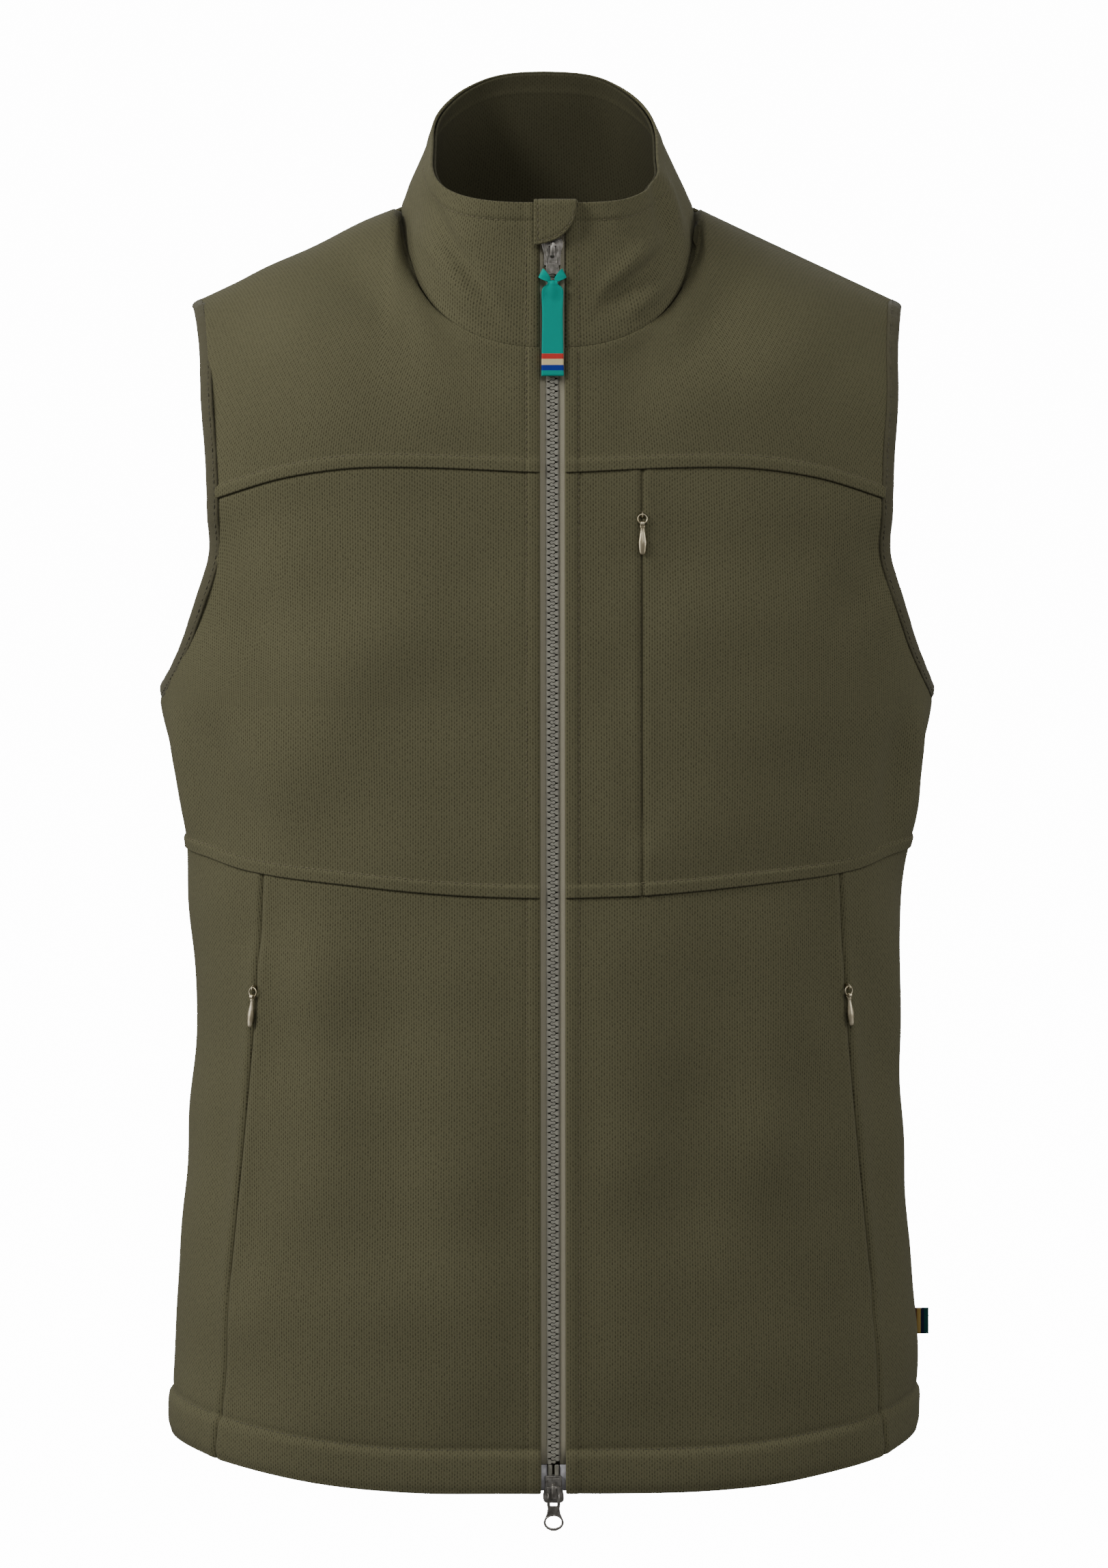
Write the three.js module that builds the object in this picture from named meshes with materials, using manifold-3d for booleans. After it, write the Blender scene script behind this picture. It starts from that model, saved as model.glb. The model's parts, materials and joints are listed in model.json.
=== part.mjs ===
// A zip-front softshell gilet: stand collar, shoulder yokes, lap seams, bound armholes, a two-way
// separating front zip, and three concealed-zip pockets.
// Millimetres, +Z up, the front faces -Y and +X is the wearer's left. Heights are measured from the
// front hem; the last group moves the origin to the middle of the neck at shoulder height, which is
// where a hanger or a wearer carries the garment.
import * as THREE from "three";
import { mergeVertices } from "three/addons/utils/BufferGeometryUtils.js";
import Module from "manifold-3d";

const wasm = await Module();
wasm.setup();

// ---- driving dimensions -------------------------------------------------------------------------

const fabric = 1.6; // softshell, one layer
const gap = 0.3; // between pieces that touch
const seamGap = 0.5; // between two panels that meet at a seam
const roundness = 2.4; // superellipse exponent of the horizontal sections

const shoulderHeight = 667; // hem to the neck end of the shoulder seam
const shoulderDrop = 49; // from there down to the shoulder point
const shoulderHalf = 184; // centre line to the panel edge at the shoulder point
const armpitHeight = 406;
const hemHalf = 198;
const waistHalf = 188;
const waistHeight = 235;
const chestHalf = 206.5; // half width at the armpits
const frontDepthAtHem = 117;
const frontLean = 0.035; // the front closes in by this much for each unit of height
const hemBack = 107;
const waistBack = 95;
const bladeBack = 114;
const bladeHeight = 480;

const yokeHeight = 526; // at the centre front
const waistSeamHeight = 308; // at the centre front
const hemSideRise = 15;

const neckHalf = 78;
const neckDrop = 78; // front neck below the shoulder
const neckRise = 6; // back neck above the shoulder
const neckBack = 57;
const collarFront = 74; // collar height at the zip
const collarBack = 69; // collar height at the nape
const rimHalf = 64;
const rimSideRise = 30; // rim above the shoulder at the side of the neck
const rimSideY = -27;
const rimBackY = 45;

const bindingWidth = 6.2;
const bindingProud = 0.4;

const zipEdge = 6.8; // centre line to the folded panel edge
const toothWidth = 3; // one side of the closed chain
const toothDeep = 2.6;
const chainGap = 1.2; // between the two rows, where the slider's wedge runs
const chainSink = 1; // from the panel face back to the chain face
const tapeWidth = 12;
const tapeThick = 0.8;
const zipBelowRim = 8; // from the collar rim down to the end of the tape
const pinLength = 14.4;
const stopHeight = 3;

const sliderLong = 14;
const sliderNose = 10.8;
const sliderTail = 8.6;
const sliderPlate = 1.4;
const sliderBackPlate = 0.9;
const topSliderBelowRim = 18; // rim down to the nose of the top slider
const bottomSliderDrop = 5; // the bottom slider hangs this far below the hem
const crownWidth = 2.2;
const crownLong = 8.4;
const crownHigh = 2.9;
const crownLeg = 1.2;
const pullerThick = 1.3;
const pullerLong = 21;
const tabLong = 47;
const tabWidth = 11.2;
const tabThick = 2.2;

const facingWidth = 18;
const facingBelowNeck = 20;
const guardWidth = 32;

const chestPocketX = 46.1;
const chestZipTop = 508;
const chestZipLong = 160;
const handZipTop = 262;
const handZipLong = 158;
const handSeamTopX = 151.5; // pocket seam at the waist seam
const handZipTopX = 153.8;
const handZipEndX = 168.5;
const handSeamHemX = 175.5;
const pocketSlot = 1.3; // between the two lips of a pocket zip
const pocketTapeHalf = 7;
const coilHalf = 1.7;
const coilDeep = 1.5;
const stemThick = 0.5;
const chestZipSink = 0.5; // a straight zip lies this far below the curved lips of its seam
const handZipSink = 2.8;
const ringRadius = 2.4;
const ringWire = 0.35;
const pullLong = 16;
const pullHalf = 2;

const labelHeight = 14;
const labelOut = 7.5;
const labelMiddle = 70;

// ---- derived places -----------------------------------------------------------------------------

const neckFrontHeight = shoulderHeight - neckDrop;
const rimFrontHeight = neckFrontHeight + collarFront;
const rimBackHeight = shoulderHeight + neckRise + collarBack;
const rimSideHeight = shoulderHeight + rimSideRise;
const toothFace = chainSink;
const toothBack = chainSink + toothDeep;
const tapeFace = fabric + gap;
const tapeBack = tapeFace + tapeThick;
const facingFace = tapeBack + gap;
const tapeStart = toothWidth + gap;
const zipTop = rimFrontHeight - zipBelowRim;
const crownInset = 1.5; // from the slider's nose to the crown
const topNose = rimFrontHeight - topSliderBelowRim;
const tiltAngle = -Math.atan(frontLean);

// ---- outlines -----------------------------------------------------------------------------------

// A smooth curve through [t, value] pairs, level beyond its ends.
function smooth(points) {
  const slope = points.map((p, i) => {
    const before = points[Math.max(i - 1, 0)];
    const after = points[Math.min(i + 1, points.length - 1)];
    return (after[1] - before[1]) / (after[0] - before[0]);
  });
  return (t) => {
    const at = THREE.MathUtils.clamp(t, points[0][0], points.at(-1)[0]);
    const i = Math.min(points.findLastIndex((p) => p[0] <= at), points.length - 2);
    const [a, b] = [points[i], points[i + 1]];
    const span = b[0] - a[0];
    const s = (at - a[0]) / span;
    const rise = (3 - 2 * s) * s * s;
    const bend = s * (1 - s) * ((1 - s) * slope[i] - s * slope[i + 1]) * span;
    return a[1] + (b[1] - a[1]) * rise + bend;
  };
}

// Straight lines through [t, value] pairs.
function straight(points) {
  return (t) => {
    const i = Math.min(Math.max(points.findLastIndex((p) => p[0] <= t), 0), points.length - 2);
    const [a, b] = [points[i], points[i + 1]];
    return a[1] + ((b[1] - a[1]) * (t - a[0])) / (b[0] - a[0]);
  };
}

const halfWidth = smooth([
  [0, hemHalf],
  [55, hemHalf + 0.5],
  [waistHeight - 30, waistHalf],
  [waistHeight + 40, waistHalf],
  [armpitHeight - 46, (waistHalf + chestHalf) / 2],
  [armpitHeight, chestHalf],
  [armpitHeight + 110, chestHalf + 5],
]);
const backDepth = smooth([
  [0, hemBack],
  [waistHeight - 100, waistBack + 2],
  [waistHeight + 20, waistBack],
  [bladeHeight - 100, bladeBack - 4],
  [bladeHeight, bladeBack],
  [shoulderHeight, bladeBack - 30],
]);
const frontDepth = (z) => frontDepthAtHem - frontLean * z;

const hemLine = smooth([
  [0, 0],
  [0.5 * hemHalf, 1],
  [0.84 * hemHalf, 0.57 * hemSideRise],
  [hemHalf, hemSideRise],
]);
const waistLine = smooth([
  [0, waistSeamHeight],
  [0.26 * waistHalf, waistSeamHeight + 1.5],
  [0.58 * waistHalf, waistSeamHeight + 6.5],
  [0.85 * waistHalf, waistSeamHeight + 12],
  [waistHalf + 4, waistSeamHeight + 21],
]);
const yokeLine = smooth([
  [0, yokeHeight],
  [0.44 * chestHalf, yokeHeight + 3],
  [0.66 * chestHalf, yokeHeight - 2],
  [0.86 * chestHalf, yokeHeight - 14],
]);
const armEdge = smooth([
  [armpitHeight, chestHalf],
  [armpitHeight + 32, chestHalf - 17],
  [armpitHeight + 70, chestHalf - 29.5],
  [yokeHeight - 14, chestHalf - 32.5],
]);
const lobe = (s) => Math.sign(s) * Math.abs(s) ** (2 / roundness);
const unlobe = (s) => Math.min(Math.abs(s), 1) ** (roundness / 2);

// A point of the body's outer face: turn is 0 at the centre front, a right angle at the sides.
function bodyPoint(turn, z) {
  const front = Math.cos(turn) > 0;
  const depth = front ? frontDepth(z) : backDepth(z);
  return new THREE.Vector3(halfWidth(z) * lobe(Math.sin(turn)), -depth * lobe(Math.cos(turn)), z);
}

const turnAt = (x, z) => Math.sign(x) * Math.asin(unlobe(x / halfWidth(z)));

// Across, inward and up for a zip that runs straight between two points of the body's face.
function zipAxes(topPoint, lowPoint, turn) {
  const up = topPoint.clone().sub(lowPoint).normalize();
  const across = bodyPoint(turn + 0.01, topPoint.z).sub(bodyPoint(turn - 0.01, topPoint.z)).normalize();
  const inward = up.clone().cross(across).normalize();
  return [inward.clone().cross(up).normalize(), inward, up];
}

// The hand pocket's seam. Along the zip it keeps to the plane through the zip's line and square to
// the cloth, so that the slider's stem runs down the middle of the slot.
const handZipEnd = handZipTop - handZipLong;
const handTopPoint = bodyPoint(turnAt(handZipTopX, handZipTop), handZipTop);
const handEndPoint = bodyPoint(turnAt(handZipEndX, handZipEnd), handZipEnd);
const [handAcross] = zipAxes(handTopPoint, handEndPoint, turnAt(handZipTopX, handZipTop));
function handSlotX(z) {
  const off = (x) => bodyPoint(turnAt(x, z), z).sub(handTopPoint).dot(handAcross);
  let x = handZipTopX + ((handZipEndX - handZipTopX) * (handZipTop - z)) / handZipLong;
  for (let i = 0; i < 6; i++) x -= (off(x) * 0.02) / (off(x + 0.01) - off(x - 0.01));
  return x;
}
const handSeam = straight([
  [0, handSeamHemX],
  ...Array.from({ length: 9 }, (_, i) => handZipEnd + (handZipLong * i) / 8).map((z) => [z, handSlotX(z)]),
  [waistSeamHeight + 12, handSeamTopX],
]);

// The same for the depth of the neck and the rim, which stay flat as far as the zip tape reaches
// behind them: the share of its depth that a ring may lose there gives the exponent.
const tapeReach = tapeStart + tapeWidth;
const flatTo = (half, share) => Math.log(share) / Math.log(tapeReach / half);
const neckFlatness = Math.max(flatTo(neckHalf, 0.0075), flatTo(rimHalf, 0.0136));
const ringAcross = (phi) => Math.sign(Math.sin(phi)) * Math.abs(Math.sin(phi)) ** (2 / neckFlatness);
const ringTurn = (x, half) => Math.asin(Math.min(Math.abs(x / half), 1) ** (neckFlatness / 2));

// A neck or rim ring: phi is 0 at the centre front and a half turn at the nape.
function ring(half, front, side, back, phi) {
  const across = ringAcross(phi);
  const share = Math.max(1 - Math.abs(across) ** roundness, 0) ** (1 / roundness);
  const depthShare = Math.abs(Math.cos(phi)) ** (2 / neckFlatness);
  const end = Math.cos(phi) > 0 ? front : back;
  return new THREE.Vector3(
    half * across,
    THREE.MathUtils.lerp(side[0], end[0], depthShare),
    THREE.MathUtils.lerp(side[1], end[1], share),
  );
}
const neckRing = (phi, grow = 0) =>
  ring(
    neckHalf + grow,
    [-frontDepth(neckFrontHeight) - grow, neckFrontHeight],
    [0, shoulderHeight],
    [neckBack + grow, shoulderHeight + neckRise],
    phi,
  );
const rimRing = (phi) =>
  ring(
    rimHalf,
    [-frontDepth(rimFrontHeight), rimFrontHeight],
    [rimSideY, rimSideHeight],
    [rimBackY, rimBackHeight],
    phi,
  );
const collarPoint = (phi, up) => neckRing(phi).lerp(rimRing(phi), up);

// ---- solids from surfaces -----------------------------------------------------------------------

const between = (count, from = 0, to = 1) =>
  Array.from({ length: count + 1 }, (_, i) => from + ((to - from) * i) / count);

// Closed geometry from points and triangles; wound so that its faces point out.
function closedGeometry(points, triangles) {
  const geometry = new THREE.BufferGeometry();
  geometry.setAttribute("position", new THREE.Float32BufferAttribute(points.flatMap((p) => p.toArray()), 3));
  let volume = 0;
  for (const [a, b, c] of triangles) {
    volume += points[a].dot(new THREE.Vector3().crossVectors(points[b], points[c]));
  }
  geometry.setIndex(triangles.flatMap(([a, b, c]) => (volume > 0 ? [a, b, c] : [a, c, b])));
  geometry.computeVertexNormals();
  return geometry;
}

// The surface's unit normal at (u, v), pointing away from the middle of the garment.
function normalAt(surface, u, v) {
  const step = 1e-3;
  const [u0, u1] = [Math.max(u - step, 0), Math.min(u + step, 1)];
  const [v0, v1] = [Math.max(v - step, 0), Math.min(v + step, 1)];
  const along = surface(u1, v).sub(surface(u0, v));
  const up = surface(u, v1).sub(surface(u, v0));
  const normal = along.cross(up).normalize();
  const here = surface(u, v);
  const outward = new THREE.Vector3(here.x, here.y, Math.max(here.z - armpitHeight, 0) * 0.6);
  return normal.dot(outward) < 0 ? normal.negate() : normal;
}

// A sheet of cloth between depths near and far below surface(u, v), with grid lines at us and vs.
function shell(surface, us, vs, near, far) {
  const points = [];
  for (const depth of [near, far]) {
    for (const v of vs) {
      for (const u of us) {
        points.push(surface(u, v).addScaledVector(normalAt(surface, u, v), -depth));
      }
    }
  }
  const layer = us.length * vs.length;
  const at = (side, i, j) => side * layer + j * us.length + i;
  const triangles = [];
  const quad = (a, b, c, d) => triangles.push([a, b, c], [a, c, d]);
  const [last, top] = [us.length - 1, vs.length - 1];
  for (let j = 0; j < top; j++) {
    for (let i = 0; i < last; i++) {
      quad(at(0, i, j), at(0, i + 1, j), at(0, i + 1, j + 1), at(0, i, j + 1));
      quad(at(1, i, j), at(1, i, j + 1), at(1, i + 1, j + 1), at(1, i + 1, j));
    }
  }
  for (let i = 0; i < last; i++) {
    quad(at(0, i, 0), at(1, i, 0), at(1, i + 1, 0), at(0, i + 1, 0));
    quad(at(0, i, top), at(0, i + 1, top), at(1, i + 1, top), at(1, i, top));
  }
  for (let j = 0; j < top; j++) {
    quad(at(0, 0, j), at(0, 0, j + 1), at(1, 0, j + 1), at(1, 0, j));
    quad(at(0, last, j), at(1, last, j), at(1, last, j + 1), at(0, last, j + 1));
  }
  return closedGeometry(points, triangles);
}

// A solid whose section, a list of corners for each station, runs round a closed loop of stations.
function loop(stations) {
  const sides = stations[0].length;
  const triangles = [];
  stations.forEach((_, i) => {
    const next = (i + 1) % stations.length;
    for (let k = 0; k < sides; k++) {
      const k2 = (k + 1) % sides;
      const [a, b, c, d] = [i * sides + k, next * sides + k, next * sides + k2, i * sides + k2];
      triangles.push([a, b, c], [a, c, d]);
    }
  });
  return closedGeometry(stations.flat(), triangles);
}

// ---- booleans -----------------------------------------------------------------------------------

function toSolid(geometry) {
  const bare = geometry.clone();
  bare.deleteAttribute("normal");
  bare.deleteAttribute("uv");
  const merged = mergeVertices(bare, 1e-4);
  return new wasm.Manifold(
    new wasm.Mesh({
      numProp: 3,
      vertProperties: merged.attributes.position.array,
      triVerts: new Uint32Array(merged.index.array),
    }),
  );
}

function toGeometry(solid) {
  const mesh = solid.getMesh();
  const geometry = new THREE.BufferGeometry();
  geometry.setAttribute("position", new THREE.BufferAttribute(new Float32Array(mesh.vertProperties), 3));
  geometry.setIndex(new THREE.BufferAttribute(new Uint32Array(mesh.triVerts), 1));
  geometry.computeVertexNormals();
  return geometry;
}

const union = (...parts) => toGeometry(parts.map(toSolid).reduce((a, b) => a.add(b)));
const cut = (body, ...tools) => toGeometry(tools.map(toSolid).reduce((a, b) => a.subtract(b), toSolid(body)));

// A box between two x, two y and two z values.
function block([x0, x1], [y0, y1], [z0, z1]) {
  const box = new THREE.BoxGeometry(Math.abs(x1 - x0), Math.abs(y1 - y0), Math.abs(z1 - z0));
  return box.translate((x0 + x1) / 2, (y0 + y1) / 2, (z0 + z1) / 2);
}

// A flat plate: an outline in X and Z, from depth y0 to depth y1.
function plate(outline, y0, y1, curveSegments = 8) {
  const solid = new THREE.ExtrudeGeometry(outline, { depth: y1 - y0, bevelEnabled: false, curveSegments });
  return solid.rotateX(Math.PI / 2).translate(0, y1, 0);
}

// A rod along X.
const rod = (radius, long, y, z, sides = 12) =>
  new THREE.CylinderGeometry(radius, radius, long, sides).rotateZ(Math.PI / 2).translate(0, y, z);

// ---- the scene graph ----------------------------------------------------------------------------

const cloth = { color: 0x4d4833, roughness: 0.95, metalness: 0 };
const lining = { color: 0x3a3526, roughness: 0.95, metalness: 0 };
const tapeLook = { color: 0x736f5f, roughness: 0.9, metalness: 0 };
const nickel = { color: 0x8a8880, roughness: 0.4, metalness: 0.9 };
const champagne = { color: 0x99895f, roughness: 0.35, metalness: 0.6 };
const ribbon = { color: 0x0a8573, roughness: 0.8, metalness: 0 };

const vest = new THREE.Group();
function add(name, geometry, look, parent = vest) {
  const mesh = new THREE.Mesh(geometry, new THREE.MeshStandardMaterial(look));
  mesh.name = name;
  parent.add(mesh);
  return mesh;
}

// ---- cloth panels -------------------------------------------------------------------------------

// A body panel between two edge turns (functions of height) and two seam lines (functions of x).
function panel(fromTurn, toTurn, low, high) {
  return (u, v) => {
    let z = THREE.MathUtils.lerp(low(0), high(0), v);
    let turn = 0;
    for (let i = 0; i < 12; i++) {
      turn = THREE.MathUtils.lerp(fromTurn(z), toTurn(z), u);
      const x = Math.abs(bodyPoint(turn, z).x);
      z = THREE.MathUtils.lerp(low(x), high(x), v);
    }
    return bodyPoint(turn, z);
  };
}

const sideTurn = Math.PI / 2;
// Turn of a vertical edge at distance x from the centre; trimmed is how far the cloth stops short.
const edgeAt = (x, trimmed = 0) => (z) => turnAt((typeof x === "function" ? x(z) : x) + trimmed, z);
const trim = seamGap / 2;
const sideTrim = (z) => sideTurn - trim / frontDepth(z);
const sideBackTrim = (z) => sideTurn + trim / backDepth(z);
const armTurn = (z) => (z > armpitHeight ? Math.min(turnAt(armEdge(z), z), sideTrim(z)) : sideTrim(z));
const armBackTurn = (z) =>
  z > armpitHeight ? Math.PI - Math.min(turnAt(armEdge(z), z), Math.PI - sideBackTrim(z)) : sideBackTrim(z);
const raised = (line, by) => (x) => line(x) + by;

// Grid rows of the chest and upper back, closer where the armhole curves.
const sideWaist = waistLine(chestHalf);
const armpitShare = (armpitHeight - 1 - sideWaist) / (yokeLine(chestHalf) - sideWaist);
const chestRows = [0, 0.33, 0.67, 1]
  .map((s) => s * armpitShare)
  .concat([0.025, 0.07, 0.15, 0.28, 0.46, 0.7, 1].map((s) => armpitShare + s * (1 - armpitShare)));
const lowerRows = between(8);

const mirrored = (surface, side) => (u, v) => {
  const p = surface(u, v);
  return p.setX(p.x * side);
};

const slotHalf = pocketSlot / 2;
const lowerFront = panel(edgeAt(zipEdge), edgeAt(handSeam, -slotHalf), hemLine, raised(waistLine, -trim));
const lowerSide = panel(edgeAt(handSeam, slotHalf), sideTrim, hemLine, raised(waistLine, -trim));
const chestLow = raised(waistLine, trim);
const chestHigh = raised(yokeLine, -trim);
const chestWhole = panel(edgeAt(zipEdge), armTurn, chestLow, chestHigh);
const chestInner = panel(edgeAt(zipEdge), edgeAt(chestPocketX, -slotHalf), chestLow, chestHigh);
const chestOuter = panel(edgeAt(chestPocketX, slotHalf), armTurn, chestLow, chestHigh);

for (const [side, hand] of [[-1, "right"], [1, "left"]]) {
  add(`front_lower_${hand}`, shell(mirrored(lowerFront, side), between(9), lowerRows, 0, fabric), cloth);
  add(`side_lower_${hand}`, shell(mirrored(lowerSide, side), between(5), lowerRows, 0, fabric), cloth);
}
add("chest_panel_right", shell(mirrored(chestWhole, -1), between(14), chestRows, 0, fabric), cloth);
add("chest_panel_left_inner", shell(chestInner, between(3), chestRows, 0, fabric), cloth);
add("chest_panel_left_outer", shell(chestOuter, between(11), chestRows, 0, fabric), cloth);

// The back panels run from side seam to side seam.
function backPanel(edgeTurn, low, high) {
  const half = panel(() => Math.PI, edgeTurn, low, high);
  return (u, v) => mirrored(half, u < 0.5 ? -1 : 1)(Math.abs(2 * u - 1), v);
}
add(
  "back_lower",
  shell(backPanel(sideBackTrim, hemLine, raised(waistLine, -trim)), between(20), lowerRows, 0, fabric),
  cloth,
);
const backUpper = backPanel(armBackTurn, chestLow, chestHigh);
add("back_upper", shell(backUpper, between(20), chestRows, 0, fabric), cloth);

// ---- yokes --------------------------------------------------------------------------------------

const shoulderLine = (x) => shoulderHeight - (shoulderDrop * (x - neckHalf)) / (shoulderHalf - neckHalf);
const neckClear = 1.5; // the yoke stops this far outside the collar's foot

// Top edge of a yoke: the neck ring while u is under neckShare, then the shoulder seam.
const neckShare = 0.5;
const neckEase = 1.4; // spaces the ring's points evenly across
function yokeTop(u, start, back) {
  const edge = neckHalf + neckClear;
  if (u > neckShare) {
    const x = THREE.MathUtils.lerp(edge, shoulderHalf, (u - neckShare) / (1 - neckShare));
    return new THREE.Vector3(x, back ? trim : -trim, shoulderLine(x));
  }
  const phi = THREE.MathUtils.lerp(ringTurn(start, edge), sideTurn, (u / neckShare) ** neckEase);
  return neckRing(back ? Math.PI - phi : phi, neckClear);
}

// One half of a yoke. u runs from x = start to the armhole, v from the yoke seam to the shoulder.
function yokeHalf(start, back, bend) {
  return (u, v) => {
    const top = yokeTop(u, start, back);
    const seamZ = (x) => yokeLine(x) + trim;
    const footX = THREE.MathUtils.lerp(start, armEdge(yokeHeight), u);
    const turn = turnAt(footX, seamZ(footX));
    const foot = bodyPoint(back ? Math.PI - turn : turn, seamZ(footX));
    const round = bend(top.x);
    const angle = (v * Math.PI) / 2;
    const rise = THREE.MathUtils.lerp(v, Math.sin(angle), round);
    const lean = THREE.MathUtils.lerp(1 - v, Math.cos(angle), round);
    return new THREE.Vector3(
      THREE.MathUtils.lerp(foot.x, top.x, v),
      top.y + (foot.y - top.y) * lean,
      foot.z + (top.z - foot.z) * rise,
    );
  };
}
const yokeRows = [0, 0.18, 0.36, 0.54, 0.7, 0.85, 1];
const frontBend = (x) => THREE.MathUtils.smoothstep(x, 30, 72);
const backBend = (x) => 0.6 + 0.4 * THREE.MathUtils.smoothstep(x, 20, 90);
const frontYoke = yokeHalf(zipEdge, false, frontBend);
const backYoke = yokeHalf(0, true, backBend);
for (const [side, hand] of [[-1, "right"], [1, "left"]]) {
  add(`front_yoke_${hand}`, shell(mirrored(frontYoke, side), between(14), yokeRows, 0, fabric), cloth);
}
const wholeBackYoke = (u, v) => mirrored(backYoke, u < 0.5 ? -1 : 1)(Math.abs(2 * u - 1), v);
add("back_yoke", shell(wholeBackYoke, between(28), yokeRows, 0, fabric), cloth);

// ---- armhole bindings ---------------------------------------------------------------------------

// Each binding is a band round the armhole, lying in the cloth's surface just outside its edge.
function armholeStations() {
  const edge = [];
  const upper = chestRows.filter((v) => v >= armpitShare);
  const frontPanel = panel(edgeAt(zipEdge), armTurn, chestLow, chestHigh);
  const backHalf = panel(() => Math.PI, armBackTurn, chestLow, chestHigh);
  upper.forEach((v) => edge.push([frontPanel(1, v), normalAt(frontPanel, 1, v)]));
  yokeRows.forEach((v) => edge.push([frontYoke(1, v), normalAt(frontYoke, 1, v)]));
  [...yokeRows].reverse().forEach((v) => edge.push([backYoke(1, v), normalAt(backYoke, 1, v)]));
  [...upper].reverse().forEach((v) => edge.push([backHalf(1, v), normalAt(backHalf, 1, v)]));
  return edge;
}
function binding(side) {
  const edge = armholeStations();
  const middle = edge.reduce((sum, [p]) => sum.add(p), new THREE.Vector3()).divideScalar(edge.length);
  const stations = edge.map(([p, normal], i) => {
    const before = edge.at(i - 1)[0];
    const after = edge[(i + 1) % edge.length][0];
    const out = after.clone().sub(before).cross(normal).normalize();
    if (out.dot(middle.clone().sub(p)) < 0) {
      out.negate();
    }
    const corner = (far, depth) => {
      const q = p.clone().addScaledVector(out, far).addScaledVector(normal, -depth);
      return q.setX(q.x * side);
    };
    const [near, far] = [gap, gap + bindingWidth];
    const [top, under] = [-bindingProud, fabric + bindingProud];
    return [corner(near, top), corner(far, top), corner(far, under), corner(near, under)];
  });
  return loop(stations);
}
add("armhole_binding_right", binding(-1), cloth);
add("armhole_binding_left", binding(1), cloth);

// ---- collar -------------------------------------------------------------------------------------

const collarFoot = 0.018; // share of the collar's height between the neck seam and its foot
const frontShares = [0, 0.004, 0.009, 0.018, 0.03, 0.05];
const collarColumns = frontShares
  .concat(between(28, 0.075, 0.925))
  .concat(frontShares.map((u) => 1 - u).reverse());
function collarShell(startX, foot, head, near, far) {
  const surface = (u, v) => {
    const up = THREE.MathUtils.lerp(foot, head, v);
    const startNeck = ringTurn(startX, neckHalf);
    const startRim = ringTurn(startX, rimHalf);
    const start = THREE.MathUtils.lerp(startNeck, startRim, up);
    const phi = THREE.MathUtils.lerp(start, 2 * Math.PI - start, u);
    return collarPoint(phi, up);
  };
  return shell(surface, collarColumns, between(3), near, far);
}
const liningFace = fabric + 2 * gap;
const liningStart = tapeStart + tapeWidth + 2 * gap;
add("collar_outer", collarShell(zipEdge, collarFoot, 1, 0, fabric), cloth);
add(
  "collar_lining",
  collarShell(liningStart, 2 * collarFoot, 1 - collarFoot, liningFace, liningFace + fabric),
  lining,
);


// ---- front zip ----------------------------------------------------------------------------------
// Drawn upright in a group that leans with the front: x across, y into the garment, z up the zip.

const zip = new THREE.Group();
zip.position.set(0, -frontDepthAtHem, 0);
zip.rotation.x = tiltAngle;
vest.add(zip);
const along = Math.hypot(1, frontLean); // length of zip for each unit of height
const chainTop = zipTop - stopHeight - 2;

for (const [side, hand] of [[-1, "right"], [1, "left"]]) {
  const strip = (near, far) => [side * near, side * far];
  const row = strip(chainGap / 2, toothWidth);
  const pinTop = pinLength;
  const teethSpan = [(pinTop + gap) * along, chainTop * along];
  add(`zip_teeth_${hand}`, block(row, [toothFace, toothBack], teethSpan), nickel, zip);
  const stopSpan = [chainTop * along + gap, chainTop * along + gap + stopHeight];
  add(`zip_top_stop_${hand}`, block(row, [toothFace, toothBack], stopSpan), nickel, zip);
  const pinName = side < 0 ? "zip_insert_pin" : "zip_retainer_pin";
  const pin = strip(chainGap / 2, toothWidth - 0.1);
  add(pinName, block(pin, [toothFace + 0.2, toothBack - 0.2], [0.5, pinTop]), nickel, zip);
  const tape = strip(tapeStart, tapeStart + tapeWidth);
  const tapeEnds = [(pinTop + gap) * along, zipTop * along];
  add(`zip_tape_${hand}`, block(tape, [tapeFace, tapeBack], tapeEnds), tapeLook, zip);
  add(`zip_film_${hand}`, block(tape, [tapeFace, tapeBack], [1, pinTop]), tapeLook, zip);
  const facingTop = neckFrontHeight - facingBelowNeck;
  const facing = strip(zipEdge + gap, zipEdge + gap + facingWidth);
  const facingDeep = [facingFace, facingFace + fabric - 0.2];
  add(`zip_facing_${hand}`, block(facing, facingDeep, [2, facingTop]), lining, zip);
}
const sliderBack = toothBack + gap + sliderBackPlate;
const guardFace = sliderBack + gap;
add(
  "zip_guard",
  block([-guardWidth / 2, guardWidth / 2], [guardFace, guardFace + fabric - 0.2], [4, zipTop - 2]),
  lining,
  zip,
);

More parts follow.
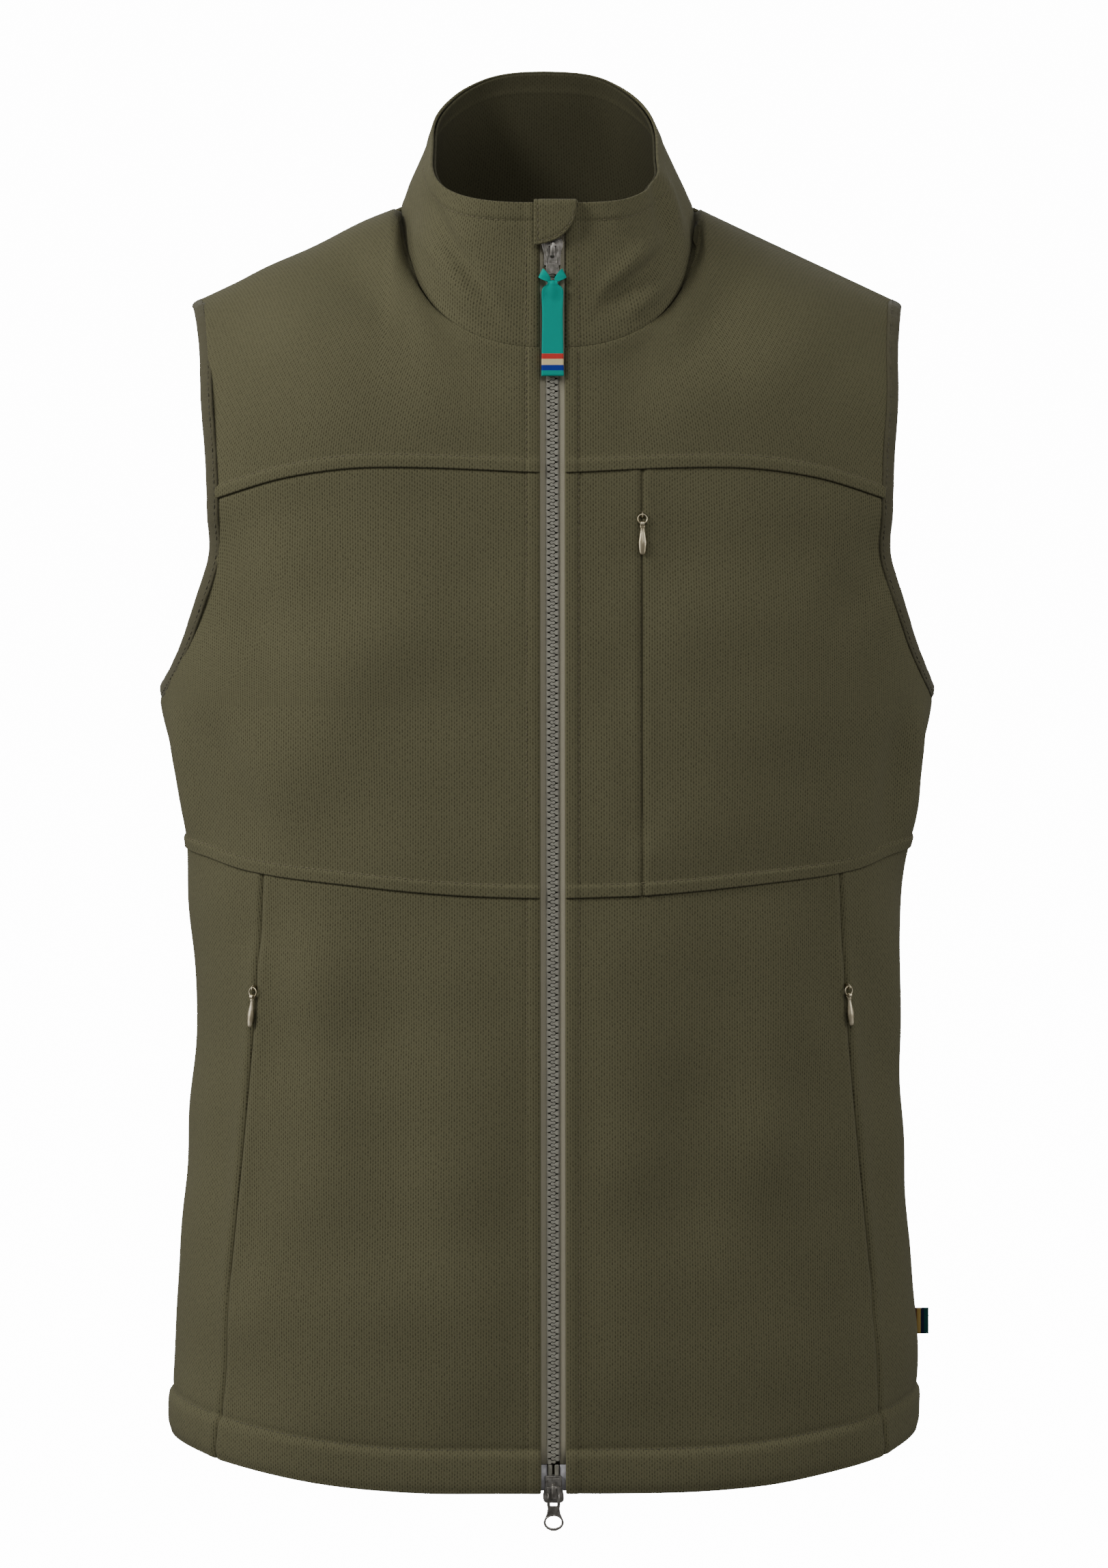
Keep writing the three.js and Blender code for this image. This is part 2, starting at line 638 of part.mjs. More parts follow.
// A slider with its nose up, its nose at z = 0 and the panel face at y = 0. It runs on the closed
// chain: two plates, four flanges that turn in over the tape, the wedge between, and the crown.
const plateBack = toothFace - gap;
const plateFront = plateBack - sliderPlate;
const crownFront = plateFront - crownHigh;
function sliderGeometry() {
  const outline = new THREE.Shape();
  outline.moveTo(-sliderTail / 2, -sliderLong);
  outline.lineTo(sliderTail / 2, -sliderLong);
  outline.lineTo(sliderTail / 2, -sliderLong * 0.6);
  outline.quadraticCurveTo(sliderTail / 2, -sliderLong * 0.3, sliderNose / 2, -2.5);
  outline.quadraticCurveTo(sliderNose / 2, -0.4, sliderNose / 2 - 1.6, 0);
  outline.lineTo(-sliderNose / 2 + 1.6, 0);
  outline.quadraticCurveTo(-sliderNose / 2, -0.4, -sliderNose / 2, -2.5);
  outline.quadraticCurveTo(-sliderTail / 2, -sliderLong * 0.3, -sliderTail / 2, -sliderLong * 0.6);
  const flangeIn = toothWidth + 0.4;
  const flangeOut = sliderTail / 2;
  const flanges = [-1, 1].flatMap((side) => [
    block([side * flangeIn, side * flangeOut], [plateBack - 0.2, tapeFace - gap], [-sliderLong, -3]),
    block([side * flangeIn, side * flangeOut], [tapeBack + gap, toothBack + gap + 0.2], [-sliderLong, -3]),
  ]);
  const wedge = block([-0.3, 0.3], [plateBack - 0.2, toothBack + gap + 0.2], [-5, 0]);
  const crownTop = -crownInset;
  const crownLow = crownTop - crownLong;
  const legs = [
    block([-crownWidth / 2, crownWidth / 2], [crownFront, plateFront + 0.2], [crownTop - crownLeg, crownTop]),
    block([-crownWidth / 2, crownWidth / 2], [crownFront, plateFront + 0.2], [crownLow, crownLow + crownLeg]),
    block([-crownWidth / 2, crownWidth / 2], [crownFront, crownFront + 0.9], [crownLow, crownTop]),
  ];
  return union(
    plate(outline, plateFront, plateBack),
    plate(outline, toothBack + gap, sliderBack),
    ...flanges,
    wedge,
    ...legs,
  );
}

// The puller hangs on the crown by the bar above its slot, which is the pivot at the local origin.
const barHalf = 0.6;
const slotHalfWidth = crownWidth / 2 + 0.7;
function pullerOutline(shoulderHalfWidth, footHalfWidth, long) {
  const outline = new THREE.Shape();
  outline.moveTo(-shoulderHalfWidth, barHalf);
  outline.lineTo(shoulderHalfWidth, barHalf);
  outline.lineTo(shoulderHalfWidth, -9);
  outline.quadraticCurveTo(shoulderHalfWidth, -12, footHalfWidth, -long + 4.5);
  outline.absellipse(0, -long + 4.5, footHalfWidth, 4.5, 0, -Math.PI, true);
  outline.quadraticCurveTo(-shoulderHalfWidth, -12, -shoulderHalfWidth, -9);
  return outline;
}
const slotLow = -crownLong - 0.7;
const pullerSlot = () => block([-slotHalfWidth, slotHalfWidth], [-3, 3], [slotLow, -barHalf]);
function pullerGeometry(footHalfWidth, long, eye) {
  const body = plate(pullerOutline(3.4, footHalfWidth, long), -pullerThick / 2, pullerThick / 2);
  return cut(body, pullerSlot(), eye);
}
const pivotDepth = plateFront - pullerThick / 2 - 0.35;
const pivotInCrown = crownLeg + gap + barHalf; // from the end of the crown to the bar
const pivotDrop = crownInset + pivotInCrown;

// Top slider, its puller, and the cloth tab looped round the bar at the puller's foot.
const topNoseAlong = topNose * along;
const topSlider = add("top_slider", sliderGeometry(), nickel, zip);
topSlider.position.set(0, 0, topNoseAlong);
const footBar = 2; // height of the bar below the eye
const eyeHalf = 2.8;
const eyeHigh = 4;
const tabPivot = -pullerLong + footBar / 2;
const topEye = block([-eyeHalf, eyeHalf], [-3, 3], [-pullerLong + footBar, -pullerLong + footBar + eyeHigh]);
const topPuller = add("top_puller", pullerGeometry(4.2, pullerLong, topEye), nickel, zip);
topPuller.position.set(0, pivotDepth, topNoseAlong - pivotDrop);

function tabGeometry() {
  const outline = new THREE.Shape();
  const [inner, outer] = [1.55, 2.35];
  outline.absarc(0, 0, outer, 0, 2 * Math.PI, false);
  const hole = new THREE.Path();
  hole.absarc(0, 0, inner, 0, 2 * Math.PI, true);
  outline.holes.push(hole);
  const width = 2 * eyeHalf - 1.2;
  const eyelet = new THREE.ExtrudeGeometry(outline, { depth: width, bevelEnabled: false, curveSegments: 12 });
  eyelet.rotateY(Math.PI / 2).translate(-width / 2, 0, 0);
  const [half, thick] = [tabWidth / 2, tabThick / 2];
  const neck = block([-width / 2, width / 2], [-thick, thick], [-5, -inner - 0.3]);
  return union(eyelet, neck, block([-half, half], [-thick, thick], [-tabLong, -4]));
}
const pullTab = add("pull_tab", tabGeometry(), ribbon, zip);
pullTab.position.set(0, pivotDepth, topNoseAlong - pivotDrop + tabPivot);

// Bottom slider: the same casting the other way up, with a plain puller that hangs below the hem.
const bottomSlider = add("bottom_slider", sliderGeometry().rotateY(Math.PI), nickel, zip);
bottomSlider.position.set(0, 0, -bottomSliderDrop);
const bottomLong = 22;
const bottomEyeRim = new THREE.Shape().absellipse(0, -bottomLong + 4.5, 3.4, 2.9, 0, 2 * Math.PI);
const bottomEye = plate(bottomEyeRim, -3, 3, 12);
const bottomPuller = add("bottom_puller", pullerGeometry(4.6, bottomLong, bottomEye), nickel, zip);
bottomPuller.position.set(0, pivotDepth, -bottomSliderDrop + crownInset + crownLong - pivotInCrown);

// The garage: a flap over the end of the zip that turns over the collar's rim.
const garageFace = crownFront - 0.4;
const garageThick = 1;
function garageGeometry() {
  const [left, right] = [-9.5, 12.5];
  const top = (rimFrontHeight + 2 * gap) * along + 1.2;
  const low = top - 25;
  const flap = new THREE.Shape();
  flap.moveTo(left, top);
  flap.lineTo(left, low);
  flap.bezierCurveTo(left + 7, low + 2, right - 2, low + 12, right, top - 3);
  flap.lineTo(right, top);
  const lip = sliderBack;
  return union(
    plate(flap, garageFace - garageThick, garageFace),
    block([left, right], [garageFace - 0.5, lip], [top - 1.2, top]),
    block([left, right], [lip - 0.9, lip], [zipTop * along + gap, top - 0.5]),
  );
}
add("zip_garage", garageGeometry(), cloth, zip);

// ---- pockets ------------------------------------------------------------------------------------

// A frame below the body's face at the upper end of a pocket zip: local z up the zip and local y
// into the garment.
function zipFrame(topPoint, lowPoint, turn, sink) {
  const [side, inward, up] = zipAxes(topPoint, lowPoint, turn);
  const frame = new THREE.Group();
  frame.applyMatrix4(new THREE.Matrix4().makeBasis(side, inward, up));
  frame.position.copy(topPoint).addScaledVector(inward, sink);
  vest.add(frame);
  return frame;
}

const coilFace = tapeBack + gap;
const pocketSliderLong = 9;
const stemOut = 3; // how far the stem stands out of the seam
const sliderDown = 3; // below the top of the zip

function pullGeometry() {
  // Profile of the drop from its tip to its eye, turned about Z and flattened in Y.
  const profile = [
    [0, -pullLong],
    [0.9, -pullLong + 0.2],
    [1.6, -pullLong + 2.6],
    [pullHalf, -pullLong + 6],
    [1.5, -pullLong + 9.5],
    [1.05, -pullLong + 12],
    [1.3, -0.6],
    [1, 0.9],
    [0, 1.5],
  ];
  const drop = new THREE.LatheGeometry(profile.map(([r, z]) => new THREE.Vector2(r, z)), 10);
  drop.rotateX(Math.PI / 2);
  const flat = new THREE.Matrix4().makeScale(1, 0.62, 1);
  const head = rod(1.45, 2, 0, 0);
  return cut(union(drop.applyMatrix4(flat), head), rod(0.95, 6, 0, 0));
}

function addPocketZip(name, frame, long, sink) {
  // The tape has its own slot, so that the slider's stem passes; its two halves meet at the ends.
  const half = pocketTapeHalf;
  const slot = stemThick / 2 + gap;
  const tape = cut(
    block([-half, half], [tapeFace, tapeBack], [-long - 4, 4]),
    block([-slot, slot], [tapeFace - 1, tapeBack + 1], [-long, 0]),
  );
  add(`${name}_zip_tape`, tape, tapeLook, frame);
  const coil = cut(
    block([-coilHalf, coilHalf], [coilFace, coilFace + coilDeep], [-long - 2, 2]),
    block([-slot, slot], [coilFace - 1, coilFace + coilDeep + 1], [-long, 0]),
  );
  add(`${name}_zip_coil`, coil, nickel, frame);
  const back = coilFace + coilDeep + gap;
  const outer = -stemOut - sink;
  const stemTop = -sliderDown;
  const stem = block([-stemThick / 2, stemThick / 2], [outer, back + 0.5], [stemTop - 3.1, stemTop]);
  const eye = [outer + 1.35, stemTop - 1.4];
  const hole = rod(0.85, 4, ...eye);
  const foot = block([-2.2, 2.2], [back, back + 1], [stemTop - pocketSliderLong, stemTop]);
  add(`${name}_zip_slider`, cut(union(stem, foot), hole), champagne, frame);
  const link = new THREE.TorusGeometry(ringRadius, ringWire, 6, 20).rotateX(Math.PI / 2);
  const ringMesh = add(`${name}_zip_ring`, link, champagne, frame);
  ringMesh.position.set(0, eye[0], eye[1] - ringRadius);
  const pull = add(`${name}_zip_pull`, pullGeometry(), champagne, frame);
  pull.position.set(0, eye[0], eye[1] - 2 * ringRadius);
}

const bagFace = tapeFace + 0.5;
const bagThick = 1.4;
const level = (z) => () => z;
{
  const z0 = chestZipTop - chestZipLong;
  const turn = turnAt(chestPocketX, chestZipTop);
  const low = bodyPoint(turnAt(chestPocketX, z0), z0);
  const frame = zipFrame(bodyPoint(turn, chestZipTop), low, turn, chestZipSink);
  addPocketZip("chest", frame, chestZipLong, chestZipSink);
  const inner = chestPocketX + pocketTapeHalf + gap;
  const bag = panel(edgeAt(inner), edgeAt(inner + 90), level(z0 - 8), level(chestZipTop + 4));
  add("chest_pocket_bag", shell(bag, between(5), between(5), bagFace, bagFace + bagThick), lining);
}
for (const [side, hand] of [[-1, "right"], [1, "left"]]) {
  const turn = side * turnAt(handZipTopX, handZipTop);
  const low = bodyPoint(side * turnAt(handZipEndX, handZipEnd), handZipEnd);
  const frame = zipFrame(bodyPoint(turn, handZipTop), low, turn, handZipSink);
  addPocketZip(`hand_${hand}`, frame, handZipLong, handZipSink);
  const outer = (z) => handSeam(z) - pocketTapeHalf - 1;
  const bag = panel(edgeAt(42), edgeAt(outer), level(handZipEnd - 60), level(handZipTop + 20));
  const cloths = shell(mirrored(bag, side), between(7), between(6), bagFace, bagFace + bagThick);
  add(`hand_${hand}_pocket_bag`, cloths, lining);
}

// ---- side label ---------------------------------------------------------------------------------

const labelStart = halfWidth(labelMiddle) + gap + 0.3;
add(
  "side_label",
  block(
    [labelStart, labelStart + labelOut],
    [-0.5, 0.5],
    [labelMiddle - labelHeight / 2, labelMiddle + labelHeight / 2],
  ),
  ribbon,
);

const part = new THREE.Group();
vest.position.z = -shoulderHeight;
part.add(vest);
export default part;
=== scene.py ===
"""Zip-front softshell vest: cloth panels, lap seams, stitches, zips and trims round the CAD frame.

Lengths are millimetres and heights are measured from the front hem until `place` turns them into
the frame's metres.
"""
import json
import math

import bmesh
import bpy
import numpy as np
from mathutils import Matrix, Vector

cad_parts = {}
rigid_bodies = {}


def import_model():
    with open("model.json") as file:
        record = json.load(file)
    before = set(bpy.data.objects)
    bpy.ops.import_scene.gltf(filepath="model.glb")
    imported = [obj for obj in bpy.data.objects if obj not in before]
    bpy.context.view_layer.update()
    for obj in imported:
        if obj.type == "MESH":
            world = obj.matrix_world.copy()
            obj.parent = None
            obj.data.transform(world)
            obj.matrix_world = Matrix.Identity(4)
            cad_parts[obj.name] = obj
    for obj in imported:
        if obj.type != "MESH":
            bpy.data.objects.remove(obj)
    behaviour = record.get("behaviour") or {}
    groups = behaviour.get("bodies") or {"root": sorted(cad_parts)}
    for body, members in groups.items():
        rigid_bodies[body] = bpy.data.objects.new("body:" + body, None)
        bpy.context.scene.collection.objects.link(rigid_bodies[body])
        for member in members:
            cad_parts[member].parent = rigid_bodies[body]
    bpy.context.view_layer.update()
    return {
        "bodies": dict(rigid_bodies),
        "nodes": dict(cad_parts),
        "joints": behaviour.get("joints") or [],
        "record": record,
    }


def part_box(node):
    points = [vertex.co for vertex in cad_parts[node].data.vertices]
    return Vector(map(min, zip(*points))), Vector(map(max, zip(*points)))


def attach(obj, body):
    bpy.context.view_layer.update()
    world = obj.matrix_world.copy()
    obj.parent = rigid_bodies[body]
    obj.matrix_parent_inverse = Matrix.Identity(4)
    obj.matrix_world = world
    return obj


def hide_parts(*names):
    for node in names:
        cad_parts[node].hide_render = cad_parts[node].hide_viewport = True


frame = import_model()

rng = np.random.default_rng(7)

# ---- driving dimensions, the same as the CAD model's ------------------------------------------

HEM_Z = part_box("front_lower_right")[0][2]  # frame height of the front hem
FABRIC = 1.6
SEAM_TRIM = 0.12
ROUNDNESS = 2.4
NECK_FLATNESS = 3.0

SHOULDER = 667
SHOULDER_DROP = 49
SHOULDER_HALF = 184
ARMPIT = 406
HEM_HALF, WAIST_HALF, CHEST_HALF = 198, 188, 206.5
WAIST_HEIGHT = 235
FRONT_DEPTH, FRONT_LEAN = 117, 0.035
HEM_BACK, WAIST_BACK, BLADE_BACK, BLADE_HEIGHT = 107, 95, 114, 480
YOKE, WAIST_SEAM, HEM_SIDE_RISE = 526, 308, 15

NECK_HALF, NECK_DROP, NECK_RISE, NECK_BACK = 78, 78, 6, 57
COLLAR_FRONT, COLLAR_BACK = 74, 69
RIM_HALF, RIM_SIDE_RISE, RIM_SIDE_Y, RIM_BACK_Y = 64, 30, -27, 45
NECK_FRONT_Z = SHOULDER - NECK_DROP
RIM_FRONT_Z = NECK_FRONT_Z + COLLAR_FRONT
RIM_LEVEL = 3.4  # the higher, the further round the front the rim stays level
RIM_INWARD_LEFT, RIM_INWARD_RIGHT = 6.0, 2.4  # the rim stands in from the CAD ring, by wearer's side

ZIP_EDGE = 6.8
CHEST_X = 46.1
CHEST_ZIP = (508, 160)  # top, length
HAND_ZIP = (262, 158)
HAND_X = (151.5, 153.8, 168.5, 175.5)  # waist seam, zip top, zip end, hem
LIP = 0.22  # half the slot between a pocket's lips

LAP_STITCH = 6.3  # topstitching above a lap seam's edge
PLACKET_STITCH = 6.7
HEM_STITCH = 22
RIM_STITCH = 9
STITCH_PITCH, STITCH_LONG, THREAD = 3.3, 2.3, 0.27


# ---- small curves -----------------------------------------------------------------------------


def smooth(points):
    """A smooth curve through (t, value) pairs, level beyond its ends."""
    t, y = np.array(points, float).T
    last = len(t) - 1
    before, after = np.maximum(np.arange(last + 1) - 1, 0), np.minimum(np.arange(last + 1) + 1, last)
    slope = (y[after] - y[before]) / (t[after] - t[before])

    def curve(at):
        at = np.clip(at, t[0], t[-1])
        i = np.clip(np.searchsorted(t, at, side="right") - 1, 0, last - 1)
        span = t[i + 1] - t[i]
        s = (at - t[i]) / span
        bend = s * (1 - s) * ((1 - s) * slope[i] - s * slope[i + 1]) * span
        return y[i] + (y[i + 1] - y[i]) * (3 - 2 * s) * s * s + bend

    return curve


def straight(points):
    t, y = np.array(points, float).T
    return lambda at: np.interp(at, t, y)


def step(x, low, high):
    """Smooth step from 0 at low to 1 at high."""
    s = np.clip((x - low) / (high - low), 0, 1)
    return s * s * (3 - 2 * s)


def bell(x, width):
    return np.exp(-((x / width) ** 2))


def mix(a, b, t):
    return a + (b - a) * t


half_width = smooth([
    (0, HEM_HALF), (55, HEM_HALF + 0.5), (WAIST_HEIGHT - 30, WAIST_HALF), (WAIST_HEIGHT + 40, WAIST_HALF),
    (ARMPIT - 46, (WAIST_HALF + CHEST_HALF) / 2), (ARMPIT, CHEST_HALF), (ARMPIT + 110, CHEST_HALF + 5),
])
back_depth = smooth([
    (0, HEM_BACK), (WAIST_HEIGHT - 100, WAIST_BACK + 2), (WAIST_HEIGHT + 20, WAIST_BACK),
    (BLADE_HEIGHT - 100, BLADE_BACK - 4), (BLADE_HEIGHT, BLADE_BACK), (SHOULDER, BLADE_BACK - 30),
])
hem_line = smooth([
    (0, 0), (0.5 * HEM_HALF, 1), (0.84 * HEM_HALF, 0.57 * HEM_SIDE_RISE), (HEM_HALF, HEM_SIDE_RISE),
])
waist_line = smooth([
    (0, WAIST_SEAM), (0.26 * WAIST_HALF, WAIST_SEAM + 1.5), (0.58 * WAIST_HALF, WAIST_SEAM + 6.5),
    (0.85 * WAIST_HALF, WAIST_SEAM + 12), (WAIST_HALF + 4, WAIST_SEAM + 21),
])
yoke_line = smooth([
    (0, YOKE), (0.44 * CHEST_HALF, YOKE + 3), (0.66 * CHEST_HALF, YOKE - 2), (0.86 * CHEST_HALF, YOKE - 14),
])
arm_edge = smooth([
    (ARMPIT, CHEST_HALF), (ARMPIT + 32, CHEST_HALF - 17), (ARMPIT + 70, CHEST_HALF - 29.5),
    (YOKE - 14, CHEST_HALF - 32.5),
])


def front_depth(z):
    return FRONT_DEPTH - FRONT_LEAN * z


def lobe(s):
    return np.sign(s) * np.abs(s) ** (2 / ROUNDNESS)


def points(x, y, z):
    return np.stack(np.broadcast_arrays(x, y, z), axis=-1)


def body_point(turn, z):
    """A point of the body's outer face; turn is 0 at the centre front and a right angle at the sides."""
    depth = np.where(np.cos(turn) > 0, front_depth(z), back_depth(z))
    return points(half_width(z) * lobe(np.sin(turn)), -depth * lobe(np.cos(turn)), z)


def turn_at(x, z):
    share = np.minimum(np.abs(x / half_width(z)), 1)
    return np.arcsin(share ** (ROUNDNESS / 2)) * np.sign(x)


def ring_across(phi):
    return np.sign(np.sin(phi)) * np.abs(np.sin(phi)) ** (2 / NECK_FLATNESS)


def ring_turn(x, half):
    return np.arcsin(np.minimum(np.abs(x / half), 1) ** (NECK_FLATNESS / 2))


def ring(half, front, side, back, phi):
    across = ring_across(phi)
    share = np.maximum(1 - np.abs(across) ** ROUNDNESS, 0) ** (1 / ROUNDNESS)
    depth_share = np.abs(np.cos(phi)) ** (2 / NECK_FLATNESS)
    ahead = np.cos(phi) > 0
    y = mix(side[0], np.where(ahead, front[0], back[0]), depth_share)
    z = mix(side[1], np.where(ahead, front[1], back[1]), share)
    return points(half * across, y, z)


def neck_ring(phi, grow=0.0):
    front = (-front_depth(NECK_FRONT_Z) - grow, NECK_FRONT_Z)
    return ring(NECK_HALF + grow, front, (0, SHOULDER), (NECK_BACK + grow, SHOULDER + NECK_RISE), phi)


def rim_ring(phi):
    """The rim, level in front; the collar stands a little further in on the wearer's left."""
    front = (-front_depth(RIM_FRONT_Z), RIM_FRONT_Z)
    back = (RIM_BACK_Y, SHOULDER + NECK_RISE + COLLAR_BACK)
    rim = ring(RIM_HALF, front, (RIM_SIDE_Y, SHOULDER + RIM_SIDE_RISE), back, phi)
    share = np.maximum(1 - np.abs(ring_across(phi)) ** RIM_LEVEL, 0) ** (1 / RIM_LEVEL)
    level = mix(SHOULDER + RIM_SIDE_RISE, RIM_FRONT_Z, share)
    x = rim[..., 0]
    x = x - np.where(x > 0, RIM_INWARD_LEFT, -RIM_INWARD_RIGHT) * step(np.abs(x), 18, RIM_HALF)
    return points(x, rim[..., 1], np.where(np.cos(phi) > 0, level, rim[..., 2]))


# ---- surfaces ---------------------------------------------------------------------------------

SIDE = math.pi / 2


def panel(from_turn, to_turn, low, high):
    """A body panel between two edge turns (of height) and two seam lines (of x)."""

    def surface(u, v):
        z = mix(low(0.0), high(0.0), v) + 0 * u
        turn = 0 * z
        for _ in range(12):
            turn = mix(from_turn(z), to_turn(z), u)
            x = np.abs(half_width(z) * lobe(np.sin(turn)))
            z = mix(low(x), high(x), v)
        return body_point(turn, z)

    return surface


def edge_at(x, aside=0.0):
    return lambda z: turn_at((x(z) if callable(x) else x) + aside, z)


def side_front(z):
    return SIDE - SEAM_TRIM / front_depth(z)


def side_back(z):
    return SIDE + SEAM_TRIM / back_depth(z)


def arm_front(z):
    return np.where(z > ARMPIT, np.minimum(turn_at(arm_edge(z), z), side_front(z)), side_front(z))


def arm_back(z):
    inner = math.pi - np.minimum(turn_at(arm_edge(z), z), math.pi - side_back(z))
    return np.where(z > ARMPIT, inner, side_back(z))


def raised(line, by):
    return lambda x: line(x) + by


def centre_back(z):
    return np.pi + 0 * z


def both_halves(half):
    """A surface over both sides of the centre line from its left half: u is 0.5 at the centre."""

    def surface(u, v):
        p = half(np.abs(2 * u - 1), v)
        p[..., 0] = np.where(u < 0.5, -p[..., 0], p[..., 0])
        return p

    return surface


def mirrored(half, side):
    def surface(u, v):
        p = half(u, v)
        p[..., 0] *= side
        return p

    return surface


NECK_CLEAR, NECK_SHARE, NECK_EASE = 0.1, 0.5, 1.4


def yoke_top(u, start, back):
    edge = NECK_HALF + NECK_CLEAR
    out = np.clip((u - NECK_SHARE) / (1 - NECK_SHARE), 0, 1)
    x = mix(edge, SHOULDER_HALF, out)
    fall = SHOULDER_DROP * (x - NECK_HALF) / (SHOULDER_HALF - NECK_HALF)
    seam = points(x, SEAM_TRIM if back else -SEAM_TRIM, SHOULDER - fall)
    phi = mix(ring_turn(start, edge), SIDE, np.clip(u / NECK_SHARE, 0, 1) ** NECK_EASE)
    neck = neck_ring(math.pi - phi if back else phi, NECK_CLEAR)
    return np.where((u > NECK_SHARE)[..., None], seam, neck)


YOKE_LAP = 0.9  # a yoke hangs this far over its seam


def yoke_half(start, back, bend):
    def surface(u, v):
        top = yoke_top(u, start, back)
        foot_x = mix(start, arm_edge(YOKE), u)
        seam_z = yoke_line(foot_x) - YOKE_LAP
        turn = turn_at(foot_x, seam_z)
        foot = body_point(math.pi - turn if back else turn, seam_z)
        round_ = bend(top[..., 0])
        angle = v * math.pi / 2
        rise, lean = mix(v, np.sin(angle), round_), mix(1 - v, np.cos(angle), round_)
        x = mix(foot[..., 0], top[..., 0], v)
        y = top[..., 1] + (foot[..., 1] - top[..., 1]) * lean
        return points(x, y, foot[..., 2] + (top[..., 2] - foot[..., 2]) * rise)

    return surface


front_yoke = yoke_half(ZIP_EDGE, False, lambda x: step(x, 30, 72))
back_yoke = yoke_half(0.0, True, lambda x: 0.6 + 0.4 * step(x, 20, 90))


def collar_surface(start_x, foot, head):
    """u runs from the right front edge round the nape to the left one, v from neck seam to rim."""

    def surface(u, v):
        up = mix(foot, head, v)
        start = mix(ring_turn(start_x, NECK_HALF), ring_turn(start_x, RIM_HALF), up)
        phi = mix(start, 2 * math.pi - start, u)
        return mix(neck_ring(phi), rim_ring(phi), up[..., None])

    return surface


# ---- folds ------------------------------------------------------------------------------------

WAVES = [
    (rng.normal(size=3) * (2 * math.pi / wavelength) * (1.0, 1.0, 0.6), rng.uniform(0, 6.28), height)
    for wavelength, height in ((190, 0.9), (140, 0.7), (110, 0.5), (85, 0.35), (60, 0.2))
    for _ in range(2)
]


def ridge(x, z, a, b, width, height):
    """A soft fold along the segment from a to b, seen from the front, fading towards both ends."""
    a, b = np.array(a, float), np.array(b, float)
    run = b - a
    t = ((x - a[0]) * run[0] + (z - a[1]) * run[1]) / run.dot(run)
    aside = ((x - a[0]) * run[1] - (z - a[1]) * run[0]) / math.hypot(*run)
    return height * bell(aside, width) * step(t, -0.15, 0.35) * (1 - step(t, 0.6, 1.15))


# (from, to, width, height) of the folds that show on the front, across and up, mirrored or not.
FRONT_FOLDS = [
    ((198, 405), (188, 320), 5, 2.2), ((186, 402), (176, 325), 6, -1.6), ((-200, 400), (-186, 318), 6, 1.8),
    ((-180, 400), (-150, 330), 9, -1.2), ((176, 500), (150, 440), 14, -1.8), ((-176, 500), (-140, 430), 16, -1.6),
    ((-128, 300), (-112, 150), 16, 1.6), ((-95, 290), (-70, 120), 22, -1.5), ((120, 300), (108, 130), 18, 1.5),
    ((84, 280), (60, 90), 24, -1.4), ((-60, 250), (-40, 40), 24, 1.3), ((36, 240), (48, 40), 20, 1.1),
    ((150, 615), (96, 560), 20, 2.0), ((-150, 615), (-92, 556), 22, 1.8), ((60, 470), (150, 360), 26, 1.3),
    ((-60, 480), (-150, 360), 28, 1.4), ((-110, 640), (-60, 575), 12, -1.5), ((106, 640), (62, 575), 12, -1.6),
    ((-165, 250), (-176, 60), 9, -1.2), ((164, 250), (178, 60), 9, -1.2), ((182, 300), (186, 120), 6, 1.3),
]
BACK_FOLDS = [
    ((0, 420), (4, 180), 30, 2.0), ((-90, 380), (-60, 150), 24, -1.8), ((90, 380), (64, 150), 24, -1.6),
    ((150, 500), (90, 420), 22, -2.0), ((-150, 500), (-92, 410), 22, -2.0), ((-140, 260), (-120, 60), 18, 1.6),
    ((140, 260), (124, 60), 18, 1.6),
]


def folds(p):
    """How far the cloth stands out of its plain shape at points p of the body."""
    x, y, z = p[..., 0], p[..., 1], p[..., 2]
    wave = sum(h * np.sin(p @ k + phase) for k, phase, h in WAVES)
    front = y < 0
    drawn = sum(ridge(x, z, *f) for f in FRONT_FOLDS) * step(-y, 0, 30)
    drawn = drawn + sum(ridge(x, z, *f) for f in BACK_FOLDS) * step(y, 0, 30)
    free = np.where(front, step(np.abs(x), 12, 34), 1.0)
    chest = bell(x - CHEST_X, 9) * step(z, 325, 345) * (1 - step(z, 512, 530)) * front
    hand = bell(np.abs(x) - hand_seam(z), 9) * step(z, 80, 100) * (1 - step(z, 266, 286)) * front
    seam = 0.85 * bell(z - yoke_line(np.abs(x)), 16)
    return (0.9 * wave + 2.1 * drawn) * free * (1 - chest) * (1 - hand) * (1 - seam)


def collar_folds(p):
    x, y, z = p[..., 0], p[..., 1], p[..., 2]
    front = step(-y, -30, 10) * step(np.abs(x), 14, 30)
    left = ridge(x, z, (-63, 668), (-28, 603), 3.6, -1.9) + ridge(x, z, (-58, 662), (-22, 610), 5, 1.5)
    left = left + ridge(x, z, (-70, 655), (-36, 604), 5, 1.6) + ridge(x, z, (-42, 642), (-24, 618), 3, -0.9)
    right = ridge(x, z, (52, 684), (61, 642), 3.5, -2.0) + ridge(x, z, (60, 684), (66, 650), 4, 1.6)
    right = right + ridge(x, z, (61, 640), (19, 603), 4, -2.0) + ridge(x, z, (56, 648), (22, 614), 5, 1.8)
    low = ridge(x, z, (66, 628), (34, 600), 5, 1.4) + ridge(x, z, (48, 625), (22, 606), 3, 1.0)
    wave = sum(h * np.sin(p @ k * 1.6 + phase) for k, phase, h in WAVES[2:6])
    return 1.7 * (left + right + low) * front + 1.0 * wave * step(np.abs(x), 14, 40)


# ---- edge profiles: how far the face stands out at a distance from an edge ----------------------


